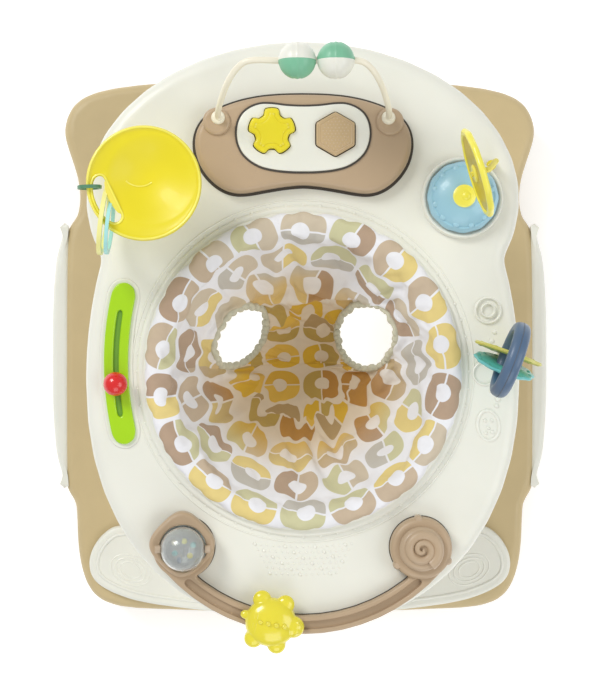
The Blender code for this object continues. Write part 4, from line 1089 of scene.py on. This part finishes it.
def make_dish():
    low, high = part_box("dish")
    rims = section("dish", high.z - 0.0008)
    outer = evened(rims[0], 0.003, 3)
    middle = sum(outer, Vector((0, 0))) / len(outer)
    bowl_centre = middle + Vector((0.0088, 0.0042))
    bowl = 0.0525
    grip = [p for p in oval(middle + Vector((-0.0413, -0.0184)), 0.0140, 0.0290, 24, 56)
            if (p - bowl_centre).length > bowl + 0.0010]
    grip = evened(grip, 0.0022, 3)
    bm = bmesh.new()
    mark = bm.verts.layers.int.new("place")

    def rim_of(loop, rows):
        verts = []
        for i, p in enumerate(loop):
            v = bm.verts.new((p.x, p.y, rows[0][1]))
            v[mark] = i
            verts.append(v)
        rim = first = [bm.edges.new((verts[i - 1], verts[i])) for i in range(len(verts))]
        inward = inwards(loop)
        for inset, z in rows[1:]:
            made = bmesh.ops.extrude_edge_only(bm, edges=rim)["geom"]
            rim = [e for e in made if isinstance(e, bmesh.types.BMEdge)]
            for v in (v for v in made if isinstance(v, bmesh.types.BMVert)):
                p, n = loop[v[mark]], inward[v[mark]]
                v.co = (p.x + n.x * inset, p.y + n.y * inset, z)
        return first, rim

    z = high.z - 0.0024
    hollow = circle(bowl, bowl_centre, 96)
    depth = high.z - low.z - 0.0022
    rows = [(bowl * s, z - depth * math.sin(math.pi / 2 * s) ** 1.25) for s in (i / 22 for i in range(22))]
    bowl_rim, last = rim_of(hollow, rows)
    bmesh.ops.contextual_create(bm, geom=last)
    start = [p + n * 0.0055 for p, n in zip(outer, inwards(outer))]
    outer_rim, _ = rim_of(start, [(0.0, z), (-0.0012, z + 0.0010), (-0.0026, z + 0.0020), (-0.0042, z + 0.0019),
                                  (-0.0053, z + 0.0006), (-0.0055, z - 0.0040)])
    grip_rim, _ = rim_of(grip, [(0.0, z), (0.0002, z - 0.0004), (0.0003, z - 0.0012), (0.0003, z - 0.0022)])
    bmesh.ops.triangle_fill(bm, use_beauty=True, use_dissolve=False, edges=bowl_rim + outer_rim + grip_rim)
    bmesh.ops.remove_doubles(bm, verts=bm.verts, dist=1e-6)
    bmesh.ops.recalc_face_normals(bm, faces=bm.faces)
    if sum(f.normal.z * f.calc_area() for f in bm.faces) < 0:
        bmesh.ops.reverse_faces(bm, faces=bm.faces)
    dish = piece("dish_bowl", bm, "yellow_plastic", "dish", ["dish"], angle=50)
    wall = dish.modifiers.new("wall", "SOLIDIFY")
    wall.thickness, wall.offset = 0.0014, -1.0
    # Painted highlight: a bead round the dish's rim in the brighter yellow.
    edge = bmesh.new()
    bar([Vector((p.x, p.y, z + 0.0017)) for p in grown(outer, -0.0022)], 0.0012, closed=True, sides=8, bm=edge)
    relief = [Vector((middle.x - 0.006 + 0.0225 * math.cos(a), middle.y + 0.0225 * math.sin(a) + 0.020, 0))
              for a in (math.radians(228 + 80 * i / 24) for i in range(25))]
    for p in relief:
        share = 1 - (Vector((p.x, p.y)) - bowl_centre).length / bowl
        p.z = z - depth * math.sin(math.pi / 2 * share) ** 1.25 + 0.0003
    piece("dish_edge_painted_highlight", edge, "yellow_and_painted_highlight", "dish")
    # Painted highlight: the smile and the grip's edge in the brighter yellow.
    mark_shape = bar(relief, 0.0009, sides=8)
    bar([Vector((p.x, p.y, z + 0.0002)) for p in grown(grip, 0.0016)], 0.0012, closed=True, sides=8, bm=mark_shape)
    piece("dish_mark", mark_shape, "yellow_and_painted_highlight", "dish")
    dressed("dish_post", "yellow_plastic")


def make_hung_rings():
    """The flat rings that hang on the dish's grip."""
    for node, key in (("ring_yellow", "pale_yellow"), ("ring_teal", "light_teal"), ("ring_green", "deep_green")):
        dressed(node, key, 50)


# Slider

def make_slider():
    low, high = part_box("slider_plate")
    loops = section("slider_plate", high.z - 0.0013)
    outer, slot = evened(loops[0], 0.002, 4), evened(loops[-1], 0.002, 3)
    recess = moulding([grown(outer, 0.0052)], low.z - 0.0002, low.z + 0.0016, 0.0014, foot=0.0002)
    piece("slider_surround", recess, "cream_plastic", "tray", even=True)
    shape = moulding([outer, slot], low.z, high.z, 0.0016, hole_edge=0.0022, foot=0.0003)
    piece("slider_frame", shape, "lime_plastic", "tray", ["slider_plate"], even=True)
    floor = moulding([grown(slot, 0.0010)], low.z + 0.0001, low.z + 0.0022, 0.0004, foot=0.0002)
    piece("slider_floor", floor, "slot_green", "tray", even=True)
    low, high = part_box("slider_ball")
    middle = (low + high) / 2
    radius = (high.x - low.x) / 2
    centre = Vector((middle.x, middle.y, high.z - radius))
    shape = ball(radius, centre, segments=48)
    turned([(0.0, low.z), (0.0026, low.z), (0.0026, centre.z - radius * 0.9), (0.0, centre.z - radius * 0.9)],
           (middle.x, middle.y, 0), steps=24, bm=shape)
    piece("slider_knob", shape, "red_plastic", "slider_ball", ["slider_ball"], angle=60)


# Dial and flower

def make_dial():
    low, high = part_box("dial")
    middle = (low + high) / 2
    radius = (high.x - low.x) / 2
    top = high.z
    floor = low.z
    radius += 0.0012
    profile = [(0.0, floor), (radius - 0.003, floor), (radius - 0.001, floor + 0.001), (radius, floor + 0.0045),
               (radius - 0.0012, floor + 0.0085), (radius - 0.0045, floor + 0.0120), (radius - 0.0065, floor + 0.0118),
               (radius - 0.0085, floor + 0.0142), (radius * 0.62, floor + 0.0185),
               (radius * 0.40, floor + 0.0212), (radius * 0.22, top - 0.0054), (0.0, top - 0.0050)]
    shape = turned(profile, (middle.x, middle.y, 0), steps=120, lobes=12, depth=0.010)
    for i in range(12):
        turn = 2 * math.pi * (i + 0.5) / 12
        ball(0.0040, (middle.x + (radius - 0.0085) * math.cos(turn), middle.y + (radius - 0.0085) * math.sin(turn),
                      floor + 0.0128), (1, 1, 0.5), shape, 14)
    piece("dial_dome", shape, "blue_plastic", "dial", ["dial"], angle=50)
    hub = turned([(0.0, top - 0.0080), (0.0135, top - 0.0080), (0.0135, top - 0.0052), (0.0105, top - 0.0036),
                  (0.0, top - 0.0034)], (middle.x, middle.y, 0), steps=40)
    ball(0.0075, (middle.x + 0.002, middle.y, top - 0.0078), (1, 1, 0.9), hub, 24)
    piece("dial_hub", hub, "yellow_and_painted_highlight", "dial", angle=60)
    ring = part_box("dial_socket")
    outer = (ring[1].x - ring[0].x) / 2
    bowl = [(outer, ring[0].z), (outer, ring[0].z + 0.0040), (outer - 0.0014, ring[0].z + 0.0064),
            (outer - 0.0034, ring[0].z + 0.0058), (outer - 0.0045, ring[0].z + 0.0020), (0.0, ring[0].z + 0.0014),
            (0.0, ring[0].z)]
    shape = turned(bowl, (middle.x, middle.y, 0), steps=96)
    piece("dial_surround", shape, "cream_plastic", "tray")
    cup = dressed("dial_socket", ("cream_plastic", "yellow_plastic"))
    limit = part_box("dial")[1].z - 0.020
    for face in cup.data.polygons:
        arm = (face.center.xy - middle.xy).length > outer - 0.0008 or face.center.z > limit + 0.012
        face.material_index = 1 if arm and face.center.z > ring[0].z + 0.004 else 0


FLOWER_AXIS = Vector((0.955, 0.297, 0)).normalized()


def make_flower():
    """A scalloped disc standing on its edge, with petals in relief; its rim is painted lighter as a highlight and its
    face darker as painted shade.
    """
    low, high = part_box("flower_disc")
    middle = (low + high) / 2
    radius = (high.z - low.z) / 2 / 1.012
    profile = [(0.0, 0.0022), (radius - 0.0075, 0.0022), (radius - 0.0060, 0.0036), (radius - 0.0022, 0.0036),
               (radius - 0.0006, 0.0022), (radius, 0.0), (radius - 0.0006, -0.0022), (radius - 0.0022, -0.0036),
               (radius - 0.0060, -0.0036), (radius - 0.0075, -0.0022), (0.0, -0.0022)]
    shape = turned(profile, middle, FLOWER_AXIS, 160, lobes=12, depth=0.014)
    # Painted light: the rim takes the brighter yellow as a painted highlight, and the face a darker yellow as painted
    # shade.
    for face in shape.faces:
        reach = (face.calc_center_median() - middle).length
        face.material_index = 1 if reach < radius * 0.86 else 0
    turned([(0.0, -0.0050), (0.0085, -0.0050), (0.0105, -0.0036), (0.0105, 0.0036), (0.0085, 0.0050), (0.0, 0.0050)],
           middle, FLOWER_AXIS, 40, shape)
    piece("flower_plate", shape, ("yellow_and_painted_highlight", "painted_shade_yellow"), "flower", ["flower_disc"])


# Large ring and its discs

RING_ALONG = Vector((-0.347, -0.938, 0)).normalized()


def make_large_ring():
    low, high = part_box("large_ring")
    centre = Vector(((low.x + high.x) / 2, (low.y + high.y) / 2, (low.z + high.z) / 2))
    tube = 0.0075
    radius = (high.z - low.z) / 2 - tube
    shape = bmesh.new()
    profile = []
    for i in range(20):
        turn = 2 * math.pi * (i + 0.5) / 20
        side = math.sin(turn)
        profile.append((radius + 0.0010 + 0.95 * tube * math.cos(turn),
                        1.30 * tube * math.copysign(abs(side) ** 0.8, side)))
    own = bmesh.new()
    verts = [own.verts.new((r, 0, z)) for r, z in profile]
    edges = [own.edges.new((verts[i - 1], verts[i])) for i in range(len(verts))]
    bmesh.ops.spin(own, geom=verts + edges, cent=(0, 0, 0), axis=(0, 0, 1), angle=2 * math.pi, steps=72,
                   use_merge=True, use_duplicate=False)
    bmesh.ops.remove_doubles(own, verts=own.verts, dist=1e-6)
    bmesh.ops.recalc_face_normals(own, faces=own.faces)
    face_out = RING_ALONG.cross(UP)
    place = Matrix.Translation(centre) @ face_out.to_track_quat("Z", "Y").to_matrix().to_4x4()
    bmesh.ops.transform(own, matrix=place, verts=own.verts)
    shape = joined(shape, own)
    piece("hoop", shape, "navy_plastic", "tray", ["large_ring"], angle=60)
    seam = bmesh.new()
    path = [centre + RING_ALONG * (radius + 1.065 * tube) * math.cos(a) + UP * (radius + 1.065 * tube) * math.sin(a)
            for a in (2 * math.pi * i / 72 for i in range(72))]
    bar(path, 0.00055, closed=True, sides=6, bm=seam)
    piece("hoop_seam", seam, "seam_navy", "tray")
    dressed("ring_post", "cream_plastic")


def make_discs():
    """The two loose discs threaded on the hoop."""
    for node, key, lobes, lean in (("disc_teal", "teal_plastic", 12, 15), ("disc_yellow", "lemon", 9, 0)):
        low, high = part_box(node)
        middle = (low + high) / 2
        radius, inner, half = (high.z - low.z) / 2, 0.0096, 0.0018
        profile = [(inner, half), (inner + 0.003, half + 0.0006), (radius - 0.009, half + 0.0006),
                   (radius - 0.008, half), (radius - 0.0015, half), (radius, 0.0), (radius - 0.0015, -half),
                   (radius - 0.008, -half), (radius - 0.009, -half - 0.0006), (inner + 0.003, -half - 0.0006),
                   (inner, -half)]
        axis = Matrix.Rotation(math.radians(-lean), 3, RING_ALONG.cross(UP)) @ -RING_ALONG
        shape = turned(profile, middle, axis, 96, lobes=lobes, depth=0.030)
        across = axis.orthogonal().normalized()
        for i in range(lobes):
            spoke = Matrix.Rotation(2 * math.pi * i / lobes, 3, axis) @ across
            for side in (-1, 1):
                dot = middle + spoke * (radius - 0.0050) + axis * side * half
                turned([(0.0, -0.0002), (0.0017, -0.0002), (0.0023, 0.0003), (0.0017, 0.0007), (0.0, 0.0004)], dot,
                       axis * side, 14, shape)
        piece(node + "_plate", shape, key, node, [node], angle=35)


# Rear rail

def make_rail():
    low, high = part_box("rear_rail")
    floor = low.z + 0.0095
    lowest = [evened(loop, 0.002, 4) for loop in section("rear_rail", low.z + 0.003)]
    shape = moulding(lowest[:2], low.z, floor, 0.0008, foot=0.0004)
    walls = [evened(loop, 0.002, 4) for loop in section("rear_rail", low.z + 0.0127)]
    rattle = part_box("rattle_ball")
    spot = (rattle[0] + rattle[1]) / 2
    moulding(walls[:3], floor - 0.001, low.z + 0.015, 0.0030, hole_edge=0.0016, foot=0.0002, bm=shape)
    piece("rail_bar", shape, "brown_plastic", "tray", ["rear_rail"], even=True)

    # Painted shadow: a dark sheet round the rail's foot.
    gap = moulding([grown(lowest[0], 0.0010)], low.z - 0.0002, low.z + 0.0010, 0.0003, foot=0.0002)
    piece("rail_painted_shadow", gap, "gap", "tray")
    rounds = section("rear_rail", low.z + 0.0187)
    cups = bmesh.new()
    for loop in rounds:
        loop = evened(loop, 0.002, 5)
        centre = sum(loop, Vector((0, 0))) / len(loop)
        if around(loop) < 0.2:
            continue
        if (centre - spot.xy).length < 0.02:
            side = 0.0350
            loop = [Vector((centre.x + 0.0020 + side * math.copysign(abs(math.cos(a)) ** 0.62, math.cos(a)) * 0.98,
                            centre.y + 0.0040 + side * math.copysign(abs(math.sin(a)) ** 0.62, math.sin(a)) * 0.98))
                    for a in (2 * math.pi * i / 96 for i in range(96))]
            loop = [Matrix.Rotation(math.radians(45), 2) @ (p - centre) + centre for p in loop]
            loop = evened(loop, 0.002, 6)
            hole = circle(0.0275, spot.xy, 64)
            moulding([loop, hole], low.z + 0.002, low.z + 0.0224, 0.0050, hole_edge=0.0020, foot=0.0004, bm=cups)
            cup = turned([(0.0, low.z + 0.0003), (0.0272, low.z + 0.0003), (0.0272, low.z + 0.0160),
                          (0.0266, low.z + 0.0160), (0.0255, low.z + 0.0060), (0.0235, low.z + 0.0022),
                          (0.0, low.z + 0.0015)], (spot.x, spot.y, 0), steps=48)
            piece("rattle_cup", cup, "pale_grey", "tray")
            for sign in (-1, 1):
                lug = [Vector((spot.x + sign * 0.0262, spot.y, spot.z)),
                       Vector((spot.x + sign * 0.0325, spot.y, spot.z))]
                bar(lug, 0.0046, bm=cups)
        else:
            moulding([loop], low.z + 0.002, low.z + 0.0224, 0.0060, foot=0.0004, bm=cups)
            for turn in (95, 215, 335):
                way = Vector((math.cos(math.radians(turn)), math.sin(math.radians(turn))))
                knob = centre + way * 0.0345
                turned([(0.0, low.z + 0.004), (0.0050, low.z + 0.004), (0.0050, low.z + 0.0190),
                        (0.0035, low.z + 0.0215), (0.0, low.z + 0.0222)], (knob.x, knob.y, 0), steps=24, bm=cups)
    piece("rail_housings", cups, "brown_plastic", "tray", even=True)


def make_rattle():
    """A clear ball with loose coloured beads in it."""
    low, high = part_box("rattle_ball")
    middle = (low + high) / 2
    radius = (high.z - low.z) / 2
    shape = ball(radius, middle, segments=48)
    own = ball(radius - 0.0016, middle, segments=48)
    bmesh.ops.reverse_faces(own, faces=own.faces)
    shape = joined(shape, own)
    relief = bmesh.new()
    bar([middle + Vector((0, (radius + 0.0002) * math.cos(a), (radius + 0.0002) * math.sin(a)))
         for a in (2 * math.pi * i / 60 for i in range(60))], 0.0006, closed=True, sides=6, bm=relief)
    piece("rattle_shell", shape, "clear_plastic", "rattle", ["rattle_ball"], angle=60)
    piece("rattle_seam", relief, "clear_plastic", "rattle")
    spots = ((0.008, -0.009, -0.013, "yellow_plastic"), (-0.010, -0.006, -0.012, "teal_plastic"),
             (0.001, 0.008, -0.014, "pale_yellow"), (-0.004, -0.014, -0.008, "navy_plastic"),
             (0.012, 0.004, -0.010, "light_teal"), (-0.011, 0.007, -0.011, "ivory"))
    for i, (x, y, z, key) in enumerate(spots):
        bead = ball(0.0036, middle + Vector((x, y, z)), segments=20)
        piece("rattle_bead_%d" % (i + 1), bead, key, "rattle")


def make_snail():
    """The turning knob: a coiled shell in relief on a disc."""
    low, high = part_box("snail_knob")
    middle = (low + high) / 2
    radius = (high.x - low.x) / 2
    profile = [(0.0, low.z), (radius - 0.001, low.z), (radius, low.z + 0.001), (radius - 0.0005, low.z + 0.0065),
               (radius - 0.003, low.z + 0.0098), (radius - 0.006, low.z + 0.0108), (0.0, low.z + 0.0112)]
    shape = turned(profile, (middle.x, middle.y, 0), steps=72)
    path, radii = [], []
    count = 110
    for i in range(count):
        share = i / (count - 1)
        angle = math.radians(-60) + share * 2 * math.pi * 2.15
        r = (radius - 0.0060) * (1 - share) ** 0.85
        thick = 0.0048 * (1 - share) + 0.0022
        path.append(Vector((middle.x + r * math.cos(angle), middle.y + r * math.sin(angle),
                            low.z + 0.0086 + 0.0046 * share)))
        radii.append(thick)
    bar(path, 0.004, sides=14, bm=shape, radii=radii)
    piece("snail_shell", shape, "brown_plastic", "snail", ["snail_knob"], angle=45)


def make_turtle():
    """A round-backed turtle with four stubby feet, a head, a tail and bumps along its back."""
    low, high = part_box("turtle")
    middle = Vector((-0.0385, -0.3270, low.z + 0.0115))
    facing = math.radians(-11)
    turn = Matrix.Rotation(facing, 4, "Z")

    def at(x, y, z):
        return middle + turn @ Vector((x, y, z))

    shape = ball(0.0290, at(0, 0, 0.0), (1.04, 0.98, 0.50), segments=40, matrix=turn)
    ball(0.0285, at(0, 0, -0.0035), (1.08, 1.03, 0.30), shape, 40, turn)
    for x, y in ((0.0130, 0.0240), (-0.0150, 0.0245), (0.0115, -0.0245), (-0.0165, -0.0225)):
        ball(0.0112, at(x, y, -0.0020), (1.0, 1.0, 0.66), shape, 20, turn)
    ball(0.0142, at(0.0262, 0.0, 0.0005), (1.0, 0.94, 0.66), shape, 24, turn)
    ball(0.0070, at(-0.0305, 0.0035, -0.0010), (1.0, 0.8, 0.7), shape, 16, turn)
    for sign in (-1, 1):
        ball(0.0026, at(0.0315, sign * 0.0058, 0.0072), (1, 1, 1), shape, 12, turn)
    mesh = fused("turtle_body", shape, 0.0009, 5)
    piece("turtle_body", mesh, "turtle_yellow", "turtle", ["turtle"], angle=70)
    bumps = bmesh.new()
    for i in range(4):
        x = 0.0165 - 0.0095 * i
        z = 0.0285 * 0.52 * math.sqrt(max(0.0, 1 - (x / 0.0285) ** 2))
        ball(0.0034 - 0.0002 * i, at(x, 0.0, z + 0.0002), (1, 1, 0.9), bumps, 16, turn)
    for sign in (-1, 1):
        for i in range(2):
            x = -0.0165 - 0.0035 * i
            line = []
            for k in range(9):
                y = sign * (0.0025 + 0.0150 * k / 8)
                z = 0.0285 * 0.52 * math.sqrt(max(0.0, 1 - (x / 0.0285) ** 2 - (y / 0.0268) ** 2))
                line.append(at(x, y, z - 0.0002))
            bar(line, 0.0006, sides=8, bm=bumps)
    piece("turtle_bumps", bumps, "turtle_yellow", "turtle")
    foot = turned([(0.0, low.z), (0.0035, low.z), (0.0035, middle.z), (0.0, middle.z)], (middle.x, middle.y, 0),
                  steps=20)
    piece("turtle_foot", foot, "turtle_yellow", "turtle")


# Everything else keeps its shape

def dress_rest():
    """Gives every CAD node that still shows its finish."""
    slots = {s["node"]: s["material_slot"] for s in frame["record"]["subparts"]}
    for name, obj in frame["nodes"].items():
        obj.data.materials.clear()
        obj.data.materials.append(FINISH[slots[name]])
    for name in ("leg_frame_a", "leg_frame_b", "crossing_pin_left", "crossing_pin_right", "seat_ring",
                 "front_left_fork", "front_right_fork", "rear_left_fork", "rear_right_fork",
                 "front_left_axle", "front_right_axle", "rear_left_axle", "rear_right_axle",
                 "front_left_wheel", "front_right_wheel", "rear_left_wheel", "rear_right_wheel",
                 "base_track_left", "base_track_right", "tray_track_left", "tray_track_right", "tray_bottom",
                 "stopper_left", "stopper_right", "speaker"):
        dressed(name, slots[name])


# Stage

def make_stage(stage):
    """A pale floor, a soft white world, large soft lamps and the camera above the walker."""
    scene = bpy.context.scene
    scene.view_settings.view_transform = "Standard"
    bm = bmesh.new()
    bmesh.ops.create_grid(bm, x_segments=8, y_segments=8, size=6)
    mesh = bpy.data.meshes.new("floor")
    bm.to_mesh(mesh)
    bm.free()
    floor = bpy.data.objects.new("floor", mesh)
    scene.collection.objects.link(floor)
    n = Nodes("floor_paint")
    n.link(n.mix(n.noise(3, 2), (0.90, 0.90, 0.90, 1), (0.93, 0.93, 0.93, 1)), n.shader.inputs["Base Color"])
    n.shader.inputs["Roughness"].default_value = 0.9
    n.shader.inputs["Emission Color"].default_value = (1, 1, 1, 1)
    n.shader.inputs["Emission Strength"].default_value = 0.34
    mesh.materials.append(n.material)

    world = bpy.data.worlds.new("studio")
    scene.world = world
    world.use_nodes = True
    world.node_tree.nodes["Background"].inputs["Color"].default_value = (1, 1, 1, 1)
    world.node_tree.nodes["Background"].inputs["Strength"].default_value = 0.50
    for name, place, size, power in (("key", (-1.9, 1.9, 2.7), 1.3, 62.0), ("fill", (2.2, -0.4, 2.4), 1.8, 24.0),
                                     ("back", (0.2, -2.4, 2.2), 1.8, 20.0)):
        lamp = bpy.data.lights.new(name, "AREA")
        lamp.energy = power
        lamp.size = size
        holder = bpy.data.objects.new(name, lamp)
        holder.location = place
        holder.rotation_euler = (-Vector(place) + Vector((0, 0, 0.4))).to_track_quat("-Z", "Y").to_euler()
        scene.collection.objects.link(holder)

    camera = bpy.data.cameras.new("camera")
    camera.lens = stage.lens
    camera.sensor_fit = "AUTO"
    holder = bpy.data.objects.new("camera", camera)
    place = Vector((-stage.camera_side, 0.0, stage.camera_height))
    holder.location = place
    aim = Vector((0.0, 0.0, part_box("base_shell")[1].z))
    lean = math.atan2(aim.x - place.x, place.z - aim.z)
    holder.rotation_euler = (0, -lean, 0)
    scene.collection.objects.link(holder)
    scene.camera = holder


# Operators

class WALKER_OT_finishes(bpy.types.Operator):
    """Makes the walker's materials"""
    bl_idname = "walker.finishes"
    bl_label = "Make finishes"

    def execute(self, context):
        make_finishes(context.scene.walker_shell, context.scene.walker_toys)
        FINISH["slot_green"] = plastic("slot_green_plastic", (0.16, 0.36, 0.03), 0.5)
        # Painted shade: a darker yellow for the flower's face.
        FINISH["painted_shade_yellow"] = plastic("painted_shade_yellow_plastic", (0.58, 0.44, 0.0), 0.4, 0.1)
        FINISH["pale_grey"] = plastic("pale_grey_plastic", (0.66, 0.68, 0.66), 0.4, 0.1)
        FINISH["seam_navy"] = plastic("seam_navy_plastic", (0.025, 0.05, 0.09), 0.5)
        return {"FINISHED"}


class WALKER_OT_base(bpy.types.Operator):
    """Makes the base's shell, its deck and its bumpers"""
    bl_idname = "walker.base"
    bl_label = "Make base"

    def execute(self, context):
        make_base(context.scene.walker_shell)
        make_deck()
        make_bumpers()
        return {"FINISHED"}


class WALKER_OT_tray(bpy.types.Operator):
    """Makes the tray with its low relief and the seat's track"""
    bl_idname = "walker.tray"
    bl_label = "Make tray"

    def execute(self, context):
        top = make_tray(context.scene.walker_shell)
        make_seat_track(top)
        make_tray_relief(top)
        return {"FINISHED"}


class WALKER_OT_seat(bpy.types.Operator):
    """Makes the gathered seat cover"""
    bl_idname = "walker.seat"
    bl_label = "Make seat"

    def execute(self, context):
        make_seat(context.scene.walker_seat)
        return {"FINISHED"}


class WALKER_OT_console(bpy.types.Operator):
    """Makes the console, its buttons, the wire and the beads"""
    bl_idname = "walker.console"
    bl_label = "Make console"

    def execute(self, context):
        make_console()
        make_buttons()
        make_arch()
        make_beads()
        return {"FINISHED"}


class WALKER_OT_toys(bpy.types.Operator):
    """Makes the dish, the slider, the dial, the flower, the large ring and the rear rail's toys"""
    bl_idname = "walker.toys"
    bl_label = "Make toys"

    def execute(self, context):
        make_dish()
        make_hung_rings()
        make_slider()
        make_dial()
        make_flower()
        make_large_ring()
        make_discs()
        make_rail()
        make_rattle()
        make_snail()
        make_turtle()
        return {"FINISHED"}


class WALKER_OT_frame(bpy.types.Operator):
    """Finishes the legs, wheels and every other piece of the frame"""
    bl_idname = "walker.frame"
    bl_label = "Finish frame"

    def execute(self, context):
        dress_rest()
        return {"FINISHED"}


class WALKER_OT_stage(bpy.types.Operator):
    """Makes the floor, the lights and the camera"""
    bl_idname = "walker.stage"
    bl_label = "Make stage"

    def execute(self, context):
        make_stage(context.scene.walker_stage)
        return {"FINISHED"}


OPERATORS = (WALKER_OT_finishes, WALKER_OT_stage, WALKER_OT_frame, WALKER_OT_base, WALKER_OT_tray, WALKER_OT_seat,
             WALKER_OT_console, WALKER_OT_toys)


class WALKER_PT_panel(bpy.types.Panel):
    """The walker's makers"""
    bl_idname = "WALKER_PT_panel"
    bl_label = "Walker"
    bl_space_type = "VIEW_3D"
    bl_region_type = "UI"
    bl_category = "Walker"

    def draw(self, context):
        for operator in OPERATORS:
            self.layout.operator(operator.bl_idname)


SETTINGS = {"walker_shell": WalkerShellSettings, "walker_seat": WalkerSeatSettings, "walker_toys": WalkerToySettings,
            "walker_stage": WalkerStageSettings}


def register():
    for kind in (*SETTINGS.values(), *OPERATORS, WALKER_PT_panel):
        bpy.utils.register_class(kind)
    for name, kind in SETTINGS.items():
        setattr(bpy.types.Scene, name, bpy.props.PointerProperty(type=kind))


def unregister():
    for name in SETTINGS:
        delattr(bpy.types.Scene, name)
    for kind in (WALKER_PT_panel, *reversed(OPERATORS), *SETTINGS.values()):
        bpy.utils.unregister_class(kind)


def main():
    register()
    for operator in OPERATORS:
        group, name = operator.bl_idname.split(".")
        getattr(getattr(bpy.ops, group), name)()
    bpy.context.view_layer.update()


if __name__ == "__main__":
    main()
